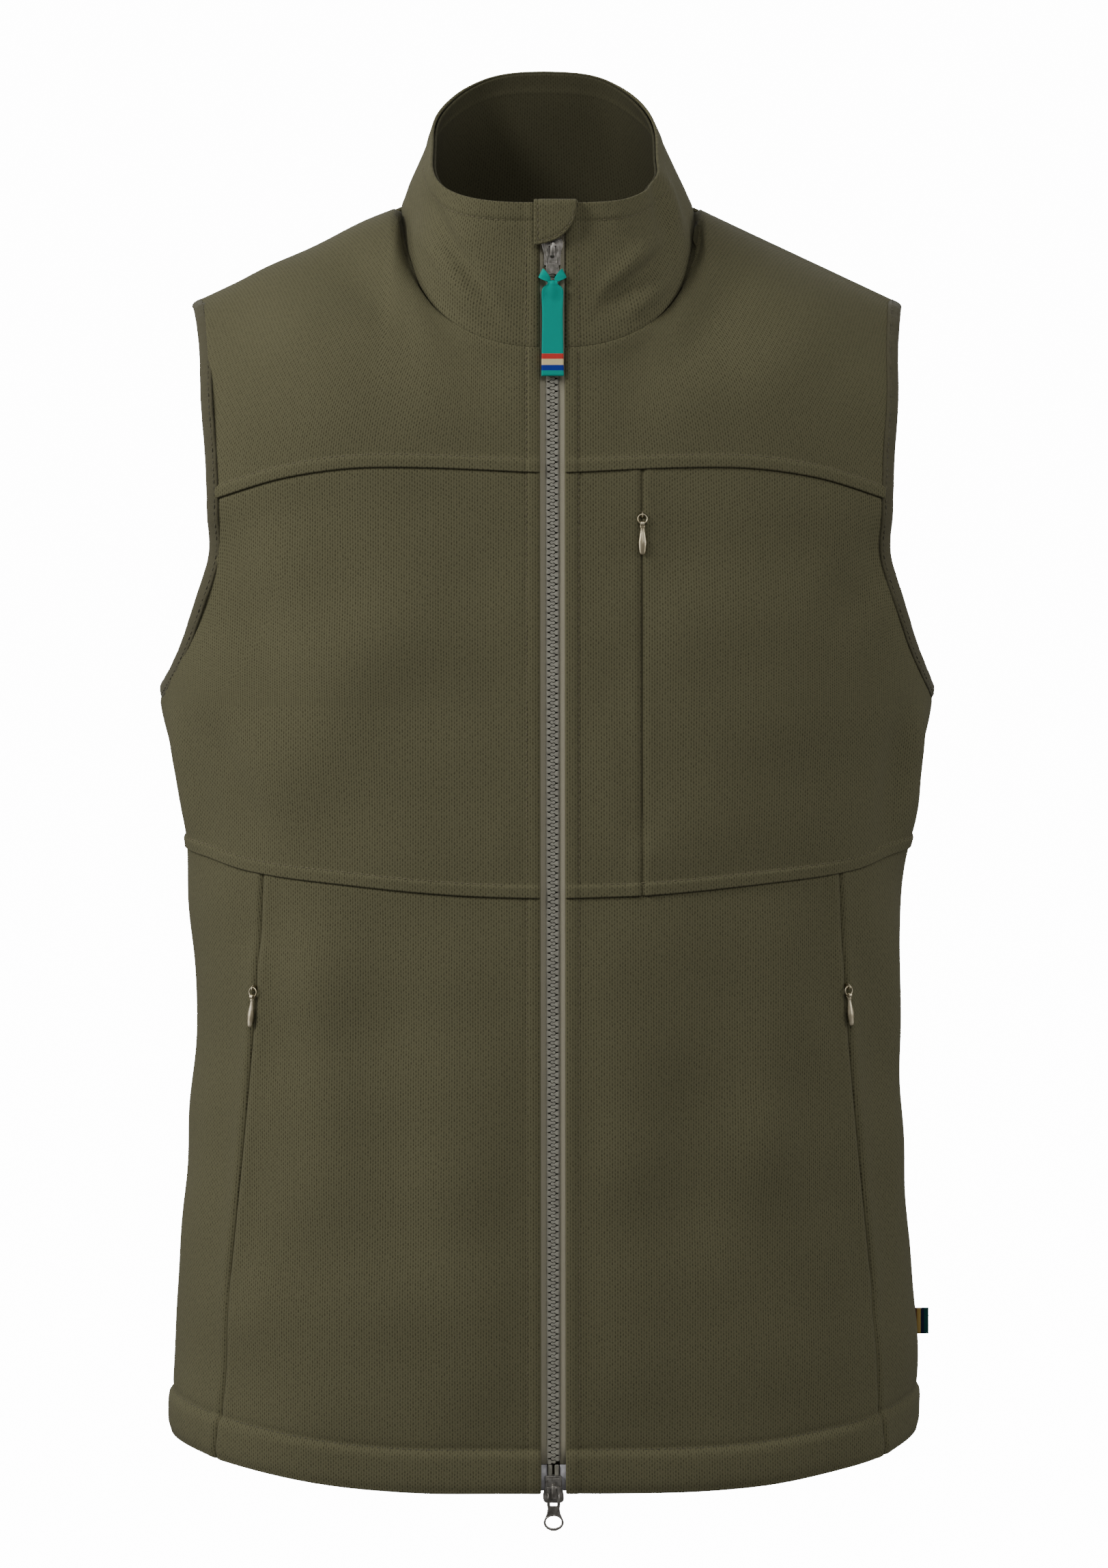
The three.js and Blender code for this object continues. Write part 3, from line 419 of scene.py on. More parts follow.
def lap_over(d):
    return 1.25 * (1 - step(d, LAP_STITCH - 1.2, LAP_STITCH + 1.6)) - 0.55 * bell(d - LAP_STITCH, 0.9)


def lap_under(d):
    return -1.1 * (1 - step(d, 1.2, 3.0))


def placket(d):
    swell = 0.7 * (1 - step(d, PLACKET_STITCH - 0.6, PLACKET_STITCH + 2))
    return swell - 0.85 * bell(d - PLACKET_STITCH, 1.0) - 0.5 * bell(d, 1.0)


def hem_edge(d):
    swell = 2.0 * (1 - step(d, HEM_STITCH - 2, HEM_STITCH + 4))
    return swell - 1.9 * bell(d - HEM_STITCH, 2.2) - 1.2 * bell(d, 3)


def pocket_lip(d):
    return 0.5 * bell(d - 3.5, 3) - 0.9 * bell(d, 1.1)


def pressed_seam(d):
    return -0.9 * bell(d, 1.3)


def neck_seam(d):
    return 0.4 * pressed_seam(d)


def rim_edge(d):
    return 0.5 * (1 - step(d, RIM_STITCH - 1, RIM_STITCH + 2)) - 0.55 * bell(d - RIM_STITCH, 1.0)


FINE = (0, 0.5, 1.1, 1.8, 2.7, 3.7, 4.7, 5.4, 5.9, 6.3, 6.7, 7.2, 7.9, 9, 10.5, 13)
HEM_ROWS = (0, 0.6, 1.4, 2.6, 4.5, 8, 12, 16, 18.5, 20, 21, 22, 23, 24, 25.5, 28, 32)
RIM_ROWS = (0, 0.5, 1.2, 2.2, 3.6, 5.4, 7, 8, 8.6, 9, 9.4, 10, 11, 13)
SOFT = (0, 0.6, 1.4, 2.4, 3.8, 5.5, 8)


def stations(total, start=SOFT, end=SOFT, pitch=5.0):
    """Shares of a length, close together near both ends."""
    first, last = start[-1], total - end[-1]
    middle = np.linspace(first, last, max(int((last - first) / pitch), 2) + 1)[1:-1]
    return np.concatenate([start, middle, total - np.array(end[::-1])]) / total


# ---- meshes -----------------------------------------------------------------------------------


def place(p):
    """Frame metres from millimetres above the hem."""
    return (np.asarray(p, float) + (0, 0, HEM_Z * 1000)) / 1000


def add_object(name, vertices, faces, material, body="vest", uv=None, face_material=None, smooth_faces=True):
    mesh = bpy.data.meshes.new(name)
    mesh.from_pydata([tuple(v) for v in vertices], [], [tuple(int(i) for i in f) for f in faces])
    mesh.validate()
    obj = bpy.data.objects.new(name, mesh)
    bpy.context.scene.collection.objects.link(obj)
    for m in material if isinstance(material, (list, tuple)) else [material]:
        mesh.materials.append(m)
    if face_material is not None:
        mesh.polygons.foreach_set("material_index", np.asarray(face_material, np.int32))
    if smooth_faces:
        mesh.polygons.foreach_set("use_smooth", np.ones(len(mesh.polygons), bool))
    if uv is not None:
        layer = mesh.uv_layers.new(name="cloth")
        corners = np.empty(len(mesh.loops), np.int32)
        mesh.loops.foreach_get("vertex_index", corners)
        layer.data.foreach_set("uv", np.asarray(uv, np.float32)[corners].ravel())
    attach(obj, body)
    return obj


def grid_normals(p):
    du, dv = np.gradient(p, axis=1), np.gradient(p, axis=0)
    n = np.cross(du, dv)
    length = np.linalg.norm(n, axis=-1, keepdims=True)
    n = n / np.maximum(length, 1e-9)
    out = points(p[..., 0], p[..., 1], np.maximum(p[..., 2] - ARMPIT, 0) * 0.6)
    return np.where((n * out).sum(-1, keepdims=True) < 0, -n, n)


def run_lengths(p, axis):
    seg = np.linalg.norm(np.diff(p, axis=axis), axis=-1)
    zero = np.zeros_like(np.take(seg, [0], axis=axis))
    return np.concatenate([zero, np.cumsum(seg, axis=axis)], axis=axis)


def cloth_piece(name, surface, us, vs, profiles, materials, nodes=(), near=0.0, thick=FABRIC, grain=0.0,
                level_grain=False, folding=folds, body="vest", calm=()):
    """A sheet of cloth with turned edges: a closed shell `near` to `near + thick` below surface.

    profiles maps an edge (left, right, low, high) to its relief. grain is the u whose edge the
    weave follows. Folds die out towards the edges named in calm.
    """
    u, v = np.meshgrid(us, vs)
    base = surface(u, v)
    normal = grid_normals(base)
    along, up = run_lengths(base, 1), run_lengths(base, 0)
    from_edge = {"left": along, "right": along[:, -1:] - along, "low": up, "high": up[-1:] - up}
    relief = folding(base)
    for edge in calm:
        relief = relief * step(from_edge[edge], 0, 14)
    relief = relief + sum(profile(from_edge[edge]) for edge, profile in profiles.items())
    outer = base + normal * (relief - near)[..., None]
    inner = outer - normal * thick
    rows, columns = u.shape
    weave_start = along[:, [int(round(grain * (columns - 1)))]]
    across = along - weave_start
    if level_grain:
        across = 0 * across + across[rows // 2]
    uv_grid = np.stack([across, up + base[:1, :, 2]], axis=-1)

    ring_ids = np.concatenate([
        np.arange(columns), np.arange(1, rows) * columns + columns - 1,
        (rows - 1) * columns + np.arange(columns - 2, -1, -1), np.arange(rows - 2, 0, -1) * columns,
    ])
    flat_outer, flat_inner = outer.reshape(-1, 3), inner.reshape(-1, 3)
    inward = {0: outer[1] - outer[0], 1: outer[:, -2] - outer[:, -1], 2: outer[-2] - outer[-1]}
    inward[3] = outer[:, 1] - outer[:, 0]
    away = np.zeros((rows, columns, 3))
    every = slice(None)
    for key, where in ((0, (0, every)), (2, (-1, every)), (1, (every, -1)), (3, (every, 0))):
        unit = inward[key] / np.maximum(np.linalg.norm(inward[key], axis=-1, keepdims=True), 1e-9)
        away[where] -= unit
    away = away.reshape(-1, 3)[ring_ids]
    away /= np.maximum(np.linalg.norm(away, axis=-1, keepdims=True), 1e-9)
    middle = (flat_outer[ring_ids] + flat_inner[ring_ids]) / 2 + away * min(thick * 0.3, 0.5)

    n = rows * columns
    ids = np.arange(n).reshape(rows, columns)
    quads = np.stack([ids[:-1, :-1], ids[:-1, 1:], ids[1:, 1:], ids[1:, :-1]], axis=-1).reshape(-1, 4)
    nose = 2 * n + np.arange(len(ring_ids))
    ahead = np.roll(nose, -1)
    ring_next = np.roll(ring_ids, -1)
    faces = np.concatenate([
        quads, quads[:, ::-1] + n,
        np.stack([ring_ids, nose, ahead, ring_next], axis=-1),
        np.stack([nose, ring_ids + n, ring_next + n, ahead], axis=-1),
    ])
    facing = np.cross(base[0, 1] - base[0, 0], base[1, 0] - base[0, 0]) @ normal[0, 0]
    if facing < 0:
        faces = faces[:, ::-1]
    vertices = np.concatenate([flat_outer, flat_inner, middle])
    uv_flat = uv_grid.reshape(-1, 2)
    uv = np.concatenate([uv_flat, uv_flat, uv_flat[ring_ids]])
    materials = materials if isinstance(materials, (list, tuple)) else [materials]
    sides = np.zeros(len(faces), int)
    if len(materials) > 1:
        sides[len(quads):2 * len(quads)] = 1
    obj = add_object(name, place(vertices), faces, materials, body, uv, sides)
    area = np.linalg.norm(np.cross(base[:-1, 1:] - base[:-1, :-1], base[1:, :-1] - base[:-1, :-1]), axis=-1).sum()
    width, length = along[:, -1].max(), up[-1].max()
    area = min(max(area, 0.31 * width * length), width * length)
    if nodes:
        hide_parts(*nodes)
    return obj, outer, normal


def thread_template(sides=6):
    """A short thread along X that dives into the cloth at both ends."""
    half = [(-0.5, 0.35, -0.9), (-0.42, 0.8, -0.2), (-0.2, 1, 0.25)]
    stops = half + [(-x, r, lift) for x, r, lift in reversed(half)]
    vertices = []
    for x, r, lift in stops:
        for k in range(sides):
            a = 2 * math.pi * k / sides
            vertices.append((x * STITCH_LONG, math.cos(a) * r * THREAD, (math.sin(a) * r + lift) * THREAD))
    faces = []
    for i in range(len(stops) - 1):
        for k in range(sides):
            k2 = (k + 1) % sides
            faces.append((i * sides + k, i * sides + k2, (i + 1) * sides + k2, (i + 1) * sides + k))
    ends = [tuple(range(sides))[::-1], tuple(range((len(stops) - 1) * sides, len(stops) * sides))]
    return np.array(vertices), faces, ends


def copies(template, frames):
    """One mesh of many copies of (vertices, faces, caps), each put in a frame (origin, x, y, z)."""
    shape, sides, caps = template
    vertices, faces = [], []
    for origin, x, y, z in frames:
        base = len(vertices) * len(shape)
        vertices.append(origin + shape @ np.stack([x, y, z]))
        faces += [tuple(i + base for i in f) for f in (*sides, *caps)]
    return np.concatenate(vertices), faces


def stitch(name, lines, material):
    """Stitches along lines of (points, normals), at one pitch."""
    frames = []
    for line, normal in lines:
        dist = run_lengths(line, 0)
        for at in np.arange(STITCH_PITCH / 2, dist[-1] - STITCH_PITCH / 3, STITCH_PITCH):
            origin = np.array([np.interp(at, dist, line[:, k]) for k in range(3)])
            ahead = np.array([np.interp(at + 0.6, dist, line[:, k]) for k in range(3)])
            behind = np.array([np.interp(at - 0.6, dist, line[:, k]) for k in range(3)])
            z = np.array([np.interp(at, dist, normal[:, k]) for k in range(3)])
            x = (ahead - behind) / max(np.linalg.norm(ahead - behind), 1e-9)
            y = np.cross(z, x)
            y /= max(np.linalg.norm(y), 1e-9)
            frames.append((origin, x, y, np.cross(x, y)))
    vertices, faces = copies(thread_template(), frames)
    obj = add_object(name, place(vertices), faces, material)
    return obj


def seam_line(surface, u, v, relief, folding=folds):
    """Points just on the face of surface along (u, v), which are arrays of one length."""
    small = 1e-3
    p = surface(u, v)
    du = surface(np.clip(u + small, 0, 1), v) - surface(np.clip(u - small, 0, 1), v)
    dv = surface(u, np.clip(v + small, 0, 1)) - surface(u, np.clip(v - small, 0, 1))
    n = np.cross(du, dv)
    n /= np.maximum(np.linalg.norm(n, axis=-1, keepdims=True), 1e-9)
    out = points(p[..., 0], p[..., 1], np.maximum(p[..., 2] - ARMPIT, 0) * 0.6)
    n = np.where((n * out).sum(-1, keepdims=True) < 0, -n, n)
    return p + n * (folding(p) + relief)[..., None], n


# ---- materials --------------------------------------------------------------------------------


class Nodes:
    """A material's node tree, with short calls for the nodes used here."""

    def __init__(self, name, roughness=0.9, metallic=0.0):
        self.material = bpy.data.materials.new(name)
        self.material.use_nodes = True
        self.tree = self.material.node_tree
        self.shader = self.tree.nodes["Principled BSDF"]
        self.shader.inputs["Roughness"].default_value = roughness
        self.shader.inputs["Metallic"].default_value = metallic

    def set(self, socket, value):
        if hasattr(value, "is_output"):
            self.tree.links.new(value, socket)
        else:
            socket.default_value = value

    def math(self, operation, *values):
        node = self.tree.nodes.new("ShaderNodeMath")
        node.operation = operation
        for socket, value in zip(node.inputs, values):
            self.set(socket, value)
        return node.outputs[0]

    def uv(self):
        node = self.tree.nodes.new("ShaderNodeUVMap")
        node.uv_map = "cloth"
        split = self.tree.nodes.new("ShaderNodeSeparateXYZ")
        self.tree.links.new(node.outputs[0], split.inputs[0])
        return node.outputs[0], split.outputs[0], split.outputs[1]

    def place(self):
        return self.tree.nodes.new("ShaderNodeTexCoord").outputs["Object"]

    def noise(self, vector, scale, detail=2.0, rough=0.5):
        node = self.tree.nodes.new("ShaderNodeTexNoise")
        node.inputs["Scale"].default_value = scale
        node.inputs["Detail"].default_value = detail
        node.inputs["Roughness"].default_value = rough
        self.tree.links.new(vector, node.inputs["Vector"])
        return node.outputs[0]

    def range(self, value, low, high, to_low=0.0, to_high=1.0):
        node = self.tree.nodes.new("ShaderNodeMapRange")
        node.interpolation_type = "SMOOTHSTEP"
        for socket, number in zip(node.inputs, (value, low, high, to_low, to_high)):
            self.set(socket, number)
        return node.outputs[0]

    def colour(self, factor, a, b):
        node = self.tree.nodes.new("ShaderNodeMix")
        node.data_type = "RGBA"
        self.set(node.inputs[0], factor)
        for socket, value in zip((node.inputs[6], node.inputs[7]), (a, b)):
            self.set(socket, value if hasattr(value, "is_output") else (*value, 1))
        return node.outputs[2]

    def bump(self, height, strength, distance):
        node = self.tree.nodes.new("ShaderNodeBump")
        node.inputs["Strength"].default_value = strength
        node.inputs["Distance"].default_value = distance
        self.tree.links.new(height, node.inputs["Height"])
        self.tree.links.new(node.outputs[0], self.shader.inputs["Normal"])

    def finish(self, colour):
        self.set(self.shader.inputs["Base Color"], colour)
        return self.material


RIB, ROW = 1.35, 2.15  # the knit's pitch across and along


def knit(name, light, dark, depth=1.0, sheen=0.02):
    """Softshell face: fine ribs with short slits between stitches, half-dropped."""
    n = Nodes(name, roughness=0.92)
    vector, u, v = n.uv()
    wobble = n.math("SUBTRACT", n.noise(vector, 0.35, 2.0), 0.5)
    column = n.math("MULTIPLY_ADD", wobble, 0.30, n.math("DIVIDE", u, RIB))
    index = n.math("FLOOR", column)
    across = n.math("SUBTRACT", n.math("FRACT", column), 0.5)
    drop = n.math("MULTIPLY", n.math("PINGPONG", index, 1.0), 0.5)
    row = n.math("MULTIPLY_ADD", wobble, 0.5, n.math("ADD", n.math("DIVIDE", v, ROW), drop))
    along = n.math("SUBTRACT", n.math("FRACT", row), 0.5)
    reach = n.math("ADD", n.math("POWER", n.math("ABSOLUTE", n.math("MULTIPLY", across, 4.0)), 2.0),
                   n.math("POWER", n.math("ABSOLUTE", n.math("MULTIPLY", along, 2.3)), 2.0))
    uneven = n.range(n.noise(vector, 0.45, 2.0), 0.3, 0.65, 0.35, 1.0)
    slit = n.math("MULTIPLY", n.range(reach, 0.1, 1.35, 1.0, 0.0), uneven)
    fibre = n.noise(vector, 2.6, 3.0, 0.7)
    broad = n.noise(n.place(), 9.0, 3.0, 0.6)
    cloth = n.colour(n.range(fibre, 0.3, 0.7), tuple(c * 0.82 for c in light), tuple(c * 1.16 for c in light))
    cloth = n.colour(n.range(broad, 0.3, 0.7, 0.0, 0.25), cloth, tuple(c * 0.8 for c in light))
    colour = n.colour(n.math("MULTIPLY", slit, 0.8), cloth, dark)
    height = n.math("ADD", n.math("MULTIPLY", slit, -1.0), n.math("MULTIPLY", fibre, 0.6))
    n.bump(height, 0.55 * depth, 0.0003)
    n.shader.inputs["Sheen Weight"].default_value = sheen
    n.shader.inputs["Sheen Roughness"].default_value = 0.5
    n.shader.inputs["Specular IOR Level"].default_value = 0.12
    return n.finish(colour)


def plain_weave(name, light, dark, pitch=0.5, roughness=0.85, strength=0.4):
    """A fine flat weave: crossed ribs."""
    n = Nodes(name, roughness=roughness)
    vector, u, v = n.uv()
    warp = n.math("SINE", n.math("MULTIPLY", u, 2 * math.pi / pitch))
    weft = n.math("SINE", n.math("MULTIPLY", v, 2 * math.pi / pitch))
    over = n.math("MULTIPLY", warp, weft)
    fibre = n.noise(vector, 1.4, 3.0, 0.7)
    shade = n.math("MULTIPLY_ADD", over, 0.22, n.range(fibre, 0.3, 0.7, 0.25, 0.75))
    n.bump(n.math("ADD", over, fibre), strength, 0.0001)
    n.shader.inputs["Sheen Weight"].default_value = 0.08
    n.shader.inputs["Specular IOR Level"].default_value = 0.25
    return n.finish(n.colour(shade, dark, light))


def herringbone(name, light, dark):
    """Zip tape: a herringbone of slanted ribs across its width."""
    n = Nodes(name, roughness=0.85)
    vector, u, v = n.uv()
    zigzag = n.math("PINGPONG", u, 1.6)
    climb = n.math("ADD", v, n.math("MULTIPLY", zigzag, 1.1))
    slant = n.math("SINE", n.math("MULTIPLY", climb, 2 * math.pi / 0.95))
    fibre = n.noise(vector, 2.0, 2.0, 0.6)
    shade = n.math("MULTIPLY_ADD", slant, 0.3, n.range(fibre, 0.3, 0.7, 0.3, 0.7))
    n.bump(n.math("ADD", slant, fibre), 0.6, 0.00015)
    n.shader.inputs["Specular IOR Level"].default_value = 0.3
    return n.finish(n.colour(shade, dark, light))


def metal(name, colour, worn, roughness, grain=900.0):
    """Cast metal: cloudy roughness, fine pitting and paler rubbed patches."""
    n = Nodes(name, roughness=roughness, metallic=1.0)
    where = n.place()
    cloud = n.noise(where, 260.0, 3.0, 0.6)
    pits = n.noise(where, grain * 3, 2.0, 0.7)
    rough = n.math("MULTIPLY_ADD", cloud, 0.22, roughness - 0.10)
    n.set(n.shader.inputs["Roughness"], rough)
    n.bump(n.math("ADD", pits, n.math("MULTIPLY", cloud, 0.6)), 0.18, 0.00008)
    return n.finish(n.colour(n.range(cloud, 0.35, 0.65), colour, worn))


def moulded(name, light, dark, roughness=0.45, metallic=0.0):
    n = Nodes(name, roughness=roughness, metallic=metallic)
    where = n.place()
    cloud = n.noise(where, 500.0, 2.0, 0.5)
    n.bump(n.noise(where, 2500.0, 2.0, 0.5), 0.12, 0.00005)
    return n.finish(n.colour(n.range(cloud, 0.3, 0.7), dark, light))


def stripes(name, bands, pitch=0.42):
    """Ribbon: bands is [(height where a colour starts, colour)], upwards from the ribbon's end."""
    n = Nodes(name, roughness=0.7)
    vector, u, v = n.uv()
    weft = n.math("SINE", n.math("MULTIPLY", v, 2 * math.pi / pitch))
    warp = n.math("SINE", n.math("MULTIPLY", u, 2 * math.pi / (pitch * 1.3)))
    over = n.math("MULTIPLY", weft, warp)
    fray = n.math("MULTIPLY", n.math("SUBTRACT", n.noise(vector, 4.0, 2.0), 0.5), 0.35)
    height = n.math("ADD", v, fray)
    colour = (*bands[0][1], 1)
    for start, shade in bands[1:]:
        here = n.range(height, start - 0.12, start + 0.12)
        colour = n.colour(here, colour if hasattr(colour, "is_output") else colour[:3], shade)
    fibre = n.noise(vector, 3.0, 3.0, 0.7)
    dim = n.math("MULTIPLY_ADD", over, 0.10, n.range(fibre, 0.3, 0.7, 0.05, 0.25))
    colour = n.colour(dim, colour, (0.0, 0.02, 0.02))
    n.bump(over, 0.5, 0.0001)
    n.shader.inputs["Specular IOR Level"].default_value = 0.1
    return n.finish(colour)


OLIVE = (0.108, 0.101, 0.056)
OLIVE_DARK = (0.034, 0.031, 0.016)
shell = knit("shell_knit", OLIVE, OLIVE_DARK)
# The inside faces are the shell knit at half brightness: painted shade for the collar's inside and the panels' backs,
# where little light reaches.
inside = knit("inside_knit_painted_shade", tuple(c * 0.5 for c in OLIVE), tuple(c * 0.8 for c in OLIVE_DARK), 0.8)
binding_cloth = plain_weave("binding_weave", (0.088, 0.081, 0.045), (0.052, 0.047, 0.026), 0.6)
facing_cloth = plain_weave("facing_weave", (0.066, 0.060, 0.036), (0.04, 0.036, 0.021), 0.7)
bag_cloth = plain_weave("pocket_bag_weave", (0.055, 0.051, 0.033), (0.03, 0.028, 0.018), 0.8)
thread = moulded("thread_tan", (0.115, 0.100, 0.052), (0.075, 0.066, 0.034), 0.7)
thread_dark = moulded("thread_olive", (0.075, 0.067, 0.036), (0.04, 0.036, 0.02), 0.7)
tape_weave = herringbone("tape_herringbone", (0.50, 0.465, 0.34), (0.22, 0.20, 0.145))
film = moulded("tape_film", (0.42, 0.41, 0.42), (0.34, 0.33, 0.34), 0.4)
tooth = moulded("tooth_grey", (0.28, 0.27, 0.22), (0.20, 0.19, 0.155), 0.4)
coil = moulded("coil_dark", (0.03, 0.028, 0.02), (0.018, 0.017, 0.012), 0.5)
nickel = metal("nickel_aged", (0.17, 0.16, 0.14), (0.34, 0.32, 0.29), 0.38)
champagne = metal("champagne_satin", (0.44, 0.38, 0.25), (0.56, 0.50, 0.36), 0.4)
TEAL = (0.0, 0.34, 0.27)
ribbon = stripes("ribbon_teal", [
    (0, TEAL), (2.8, (0.012, 0.03, 0.30)), (5.6, (0.80, 0.66, 0.34)), (8.7, (0.60, 0.045, 0.035)), (11.4, TEAL),
])
label_weave = stripes("label_stripes", [
    (0, (0.10, 0.012, 0.012)), (1.0, (0.36, 0.24, 0.07)), (3.2, (0.006, 0.008, 0.03)), (5.0, (0.004, 0.045, 0.04)),
], 0.36)

# ---- straight zips' own frames ------------------------------------------------------------------

LEAN = math.atan(FRONT_LEAN)
LONG = math.hypot(1, FRONT_LEAN)


class Frame:
    """A local frame: x across, y into the garment, z up the zip."""

    def __init__(self, origin, x, y, z):
        self.origin, self.axes = np.array(origin, float), np.array([x, y, z], float)

    def at(self, p):
        return self.origin + np.asarray(p, float) @ self.axes

    def moved(self, p):
        return Frame(self.at(p), *self.axes)


front_zip = Frame((0, -FRONT_DEPTH, 0), (1, 0, 0), (0, math.cos(LEAN), -math.sin(LEAN)),
                  (0, math.sin(LEAN), math.cos(LEAN)))


def unit(v):
    return v / np.linalg.norm(v)


def zip_axes(top, low, turn, z):
    up = unit(top - low)
    across = unit(body_point(turn + 0.01, z) - body_point(turn - 0.01, z))
    inward = unit(np.cross(up, across))
    return unit(np.cross(inward, up)), inward, up


def pocket_frame(x_top, x_low, top, long, sink, side=1):
    turn = side * turn_at(x_top, top)
    top_point = body_point(turn, top)
    low_point = body_point(side * turn_at(x_low, top - long), top - long)
    across, inward, up = zip_axes(top_point, low_point, turn, top)
    return Frame(top_point + inward * sink, across, inward, up)


HAND_END = HAND_ZIP[0] - HAND_ZIP[1]
hand_top = body_point(turn_at(HAND_X[1], HAND_ZIP[0]), HAND_ZIP[0])
hand_low = body_point(turn_at(HAND_X[2], HAND_END), HAND_END)
hand_across = zip_axes(hand_top, hand_low, turn_at(HAND_X[1], HAND_ZIP[0]), HAND_ZIP[0])[0]


def hand_slot_x(z):
    """Where the pocket seam crosses the plane that the slider's stem runs in."""
    x = mix(HAND_X[1], HAND_X[2], (HAND_ZIP[0] - z) / HAND_ZIP[1])
    for _ in range(6):
        near = (body_point(turn_at(x + d, z), z) for d in (0, 0.01, -0.01))
        off, ahead, behind = ((p - hand_top) @ hand_across for p in near)
        x = x - off * 0.02 / (ahead - behind)
    return x


hand_seam = straight([(0, HAND_X[3])] + [(z, hand_slot_x(z)) for z in np.linspace(HAND_END, HAND_ZIP[0], 9)]
                     + [(WAIST_SEAM + 12, HAND_X[0])])


def lip(z, low, high):
    """Half the gap between a pocket seam's two sides: open along the zip, closed beyond it."""
    return 0.1 + LIP * step(z, low - 2, low + 2) * (1 - step(z, high - 2, high + 2))


def hand_edge(aside):
    return lambda z: turn_at(hand_seam(z) + aside * lip(z, HAND_END, HAND_ZIP[0]), z)


def chest_edge(aside):
    return lambda z: turn_at(CHEST_X + aside * lip(z, CHEST_ZIP[0] - CHEST_ZIP[1], CHEST_ZIP[0]) + 0 * z, z)


# ---- body panels ------------------------------------------------------------------------------

LAP = 1.5  # an upper panel's edge hangs this far over the seam
under_waist = raised(waist_line, 0.6)
over_waist = raised(waist_line, -LAP)
under_yoke = raised(yoke_line, 0.9)

lower_front = panel(edge_at(ZIP_EDGE), hand_edge(-1), hem_line, under_waist)
lower_side = panel(hand_edge(1), side_front, hem_line, under_waist)
chest_whole = panel(edge_at(ZIP_EDGE), arm_front, over_waist, under_yoke)
chest_inner = panel(edge_at(ZIP_EDGE), chest_edge(-1), over_waist, under_yoke)
chest_outer = panel(chest_edge(1), arm_front, over_waist, under_yoke)
lower_back = both_halves(panel(centre_back, side_back, hem_line, under_waist))
upper_back = both_halves(panel(centre_back, arm_back, over_waist, under_yoke))
back_yoke_whole = both_halves(back_yoke)

LOWER_VS = stations(WAIST_SEAM, HEM_ROWS, SOFT, 5)
CHEST_VS = stations(YOKE - WAIST_SEAM, FINE, SOFT, 4)
YOKE_VS = stations(150, FINE, (0, 1.2, 3, 6), 4)
# Outer faces in the shell knit, inner faces in the inside knit with its painted shade.
cloth = [shell, inside]

for side, hand in ((-1, "right"), (1, "left")):
    cloth_piece(f"lower_front_cloth_{hand}", mirrored(lower_front, side), stations(165, FINE, SOFT), LOWER_VS,
                {"left": placket, "right": pocket_lip, "low": hem_edge, "high": lap_under}, cloth,
                [f"front_lower_{hand}"])
    cloth_piece(f"lower_side_cloth_{hand}", mirrored(lower_side, side), stations(75), LOWER_VS,
                {"left": pocket_lip, "right": pressed_seam, "low": hem_edge, "high": lap_under}, cloth,
                [f"side_lower_{hand}"], grain=1.0)
    cloth_piece(f"front_yoke_cloth_{hand}", mirrored(front_yoke, side), stations(190, FINE, SOFT, 4), YOKE_VS,
                {"left": placket, "low": lap_over, "high": neck_seam}, cloth, [f"front_yoke_{hand}"],
                calm=["high"])
cloth_piece("chest_cloth_right", mirrored(chest_whole, -1), stations(200, FINE, SOFT), CHEST_VS,
            {"left": placket, "low": lap_over, "high": lap_under}, cloth, ["chest_panel_right"])
cloth_piece("chest_cloth_left_inner", chest_inner, stations(40, FINE, SOFT, 3), CHEST_VS,
            {"left": placket, "right": pocket_lip, "low": lap_over, "high": lap_under}, cloth,
            ["chest_panel_left_inner"])
cloth_piece("chest_cloth_left_outer", chest_outer, stations(160), CHEST_VS,
            {"left": pocket_lip, "low": lap_over, "high": lap_under}, cloth, ["chest_panel_left_outer"])
cloth_piece("lower_back_cloth", lower_back, stations(520), LOWER_VS,
            {"left": pressed_seam, "right": pressed_seam, "low": hem_edge, "high": lap_under}, cloth,
            ["back_lower"], grain=0.5)
cloth_piece("upper_back_cloth", upper_back, stations(520), CHEST_VS,
            {"low": lap_over, "high": lap_under}, cloth, ["back_upper"], grain=0.5)
cloth_piece("back_yoke_cloth", back_yoke_whole, stations(400, SOFT, SOFT, 4), YOKE_VS,
            {"low": lap_over, "high": pressed_seam}, cloth, ["back_yoke"], grain=0.5, calm=["high"])

# Collar: the outer layer, and the lining behind it that shows above the front.
collar_us = stations(330, FINE, FINE, 3.5)
collar_vs = stations(72, SOFT, RIM_ROWS, 3)
collar = collar_surface(ZIP_EDGE, 0.002, 1)
cloth_piece("collar_cloth", collar, collar_us, collar_vs,
            {"left": placket, "right": placket, "low": neck_seam, "high": rim_edge}, cloth, ["collar_outer"],
            folding=collar_folds, grain=0.5, level_grain=True, calm=["low"])
lining_start = 3.3 + 12 + 0.6
# Both faces of the lining use the inside knit, whose darkness is painted shade for the inside of the collar.
cloth_piece("collar_lining_cloth", collar_surface(lining_start, -0.24, 0.985), stations(320), collar_vs,
            {"high": rim_edge}, [inside, inside], ["collar_lining"], near=2.2, thick=1.4, folding=collar_folds,
            grain=0.5, level_grain=True, calm=["low"])

# ---- armhole bindings ---------------------------------------------------------------------------


def shell_faces(rows, columns):
    """Faces of a front grid, the back grid that follows it, and the strip that joins their edges."""
    n = rows * columns
    ids = np.arange(n).reshape(rows, columns)
    quads = np.stack([ids[:-1, :-1], ids[:-1, 1:], ids[1:, 1:], ids[1:, :-1]], axis=-1).reshape(-1, 4)
    rim = np.concatenate([ids[0], ids[1:, -1], ids[-1, -2::-1], ids[-2:0:-1, 0]])
    ahead = np.roll(rim, -1)
    return np.concatenate([quads, quads[:, ::-1] + n, np.stack([rim, rim + n, ahead + n, ahead], axis=-1)])


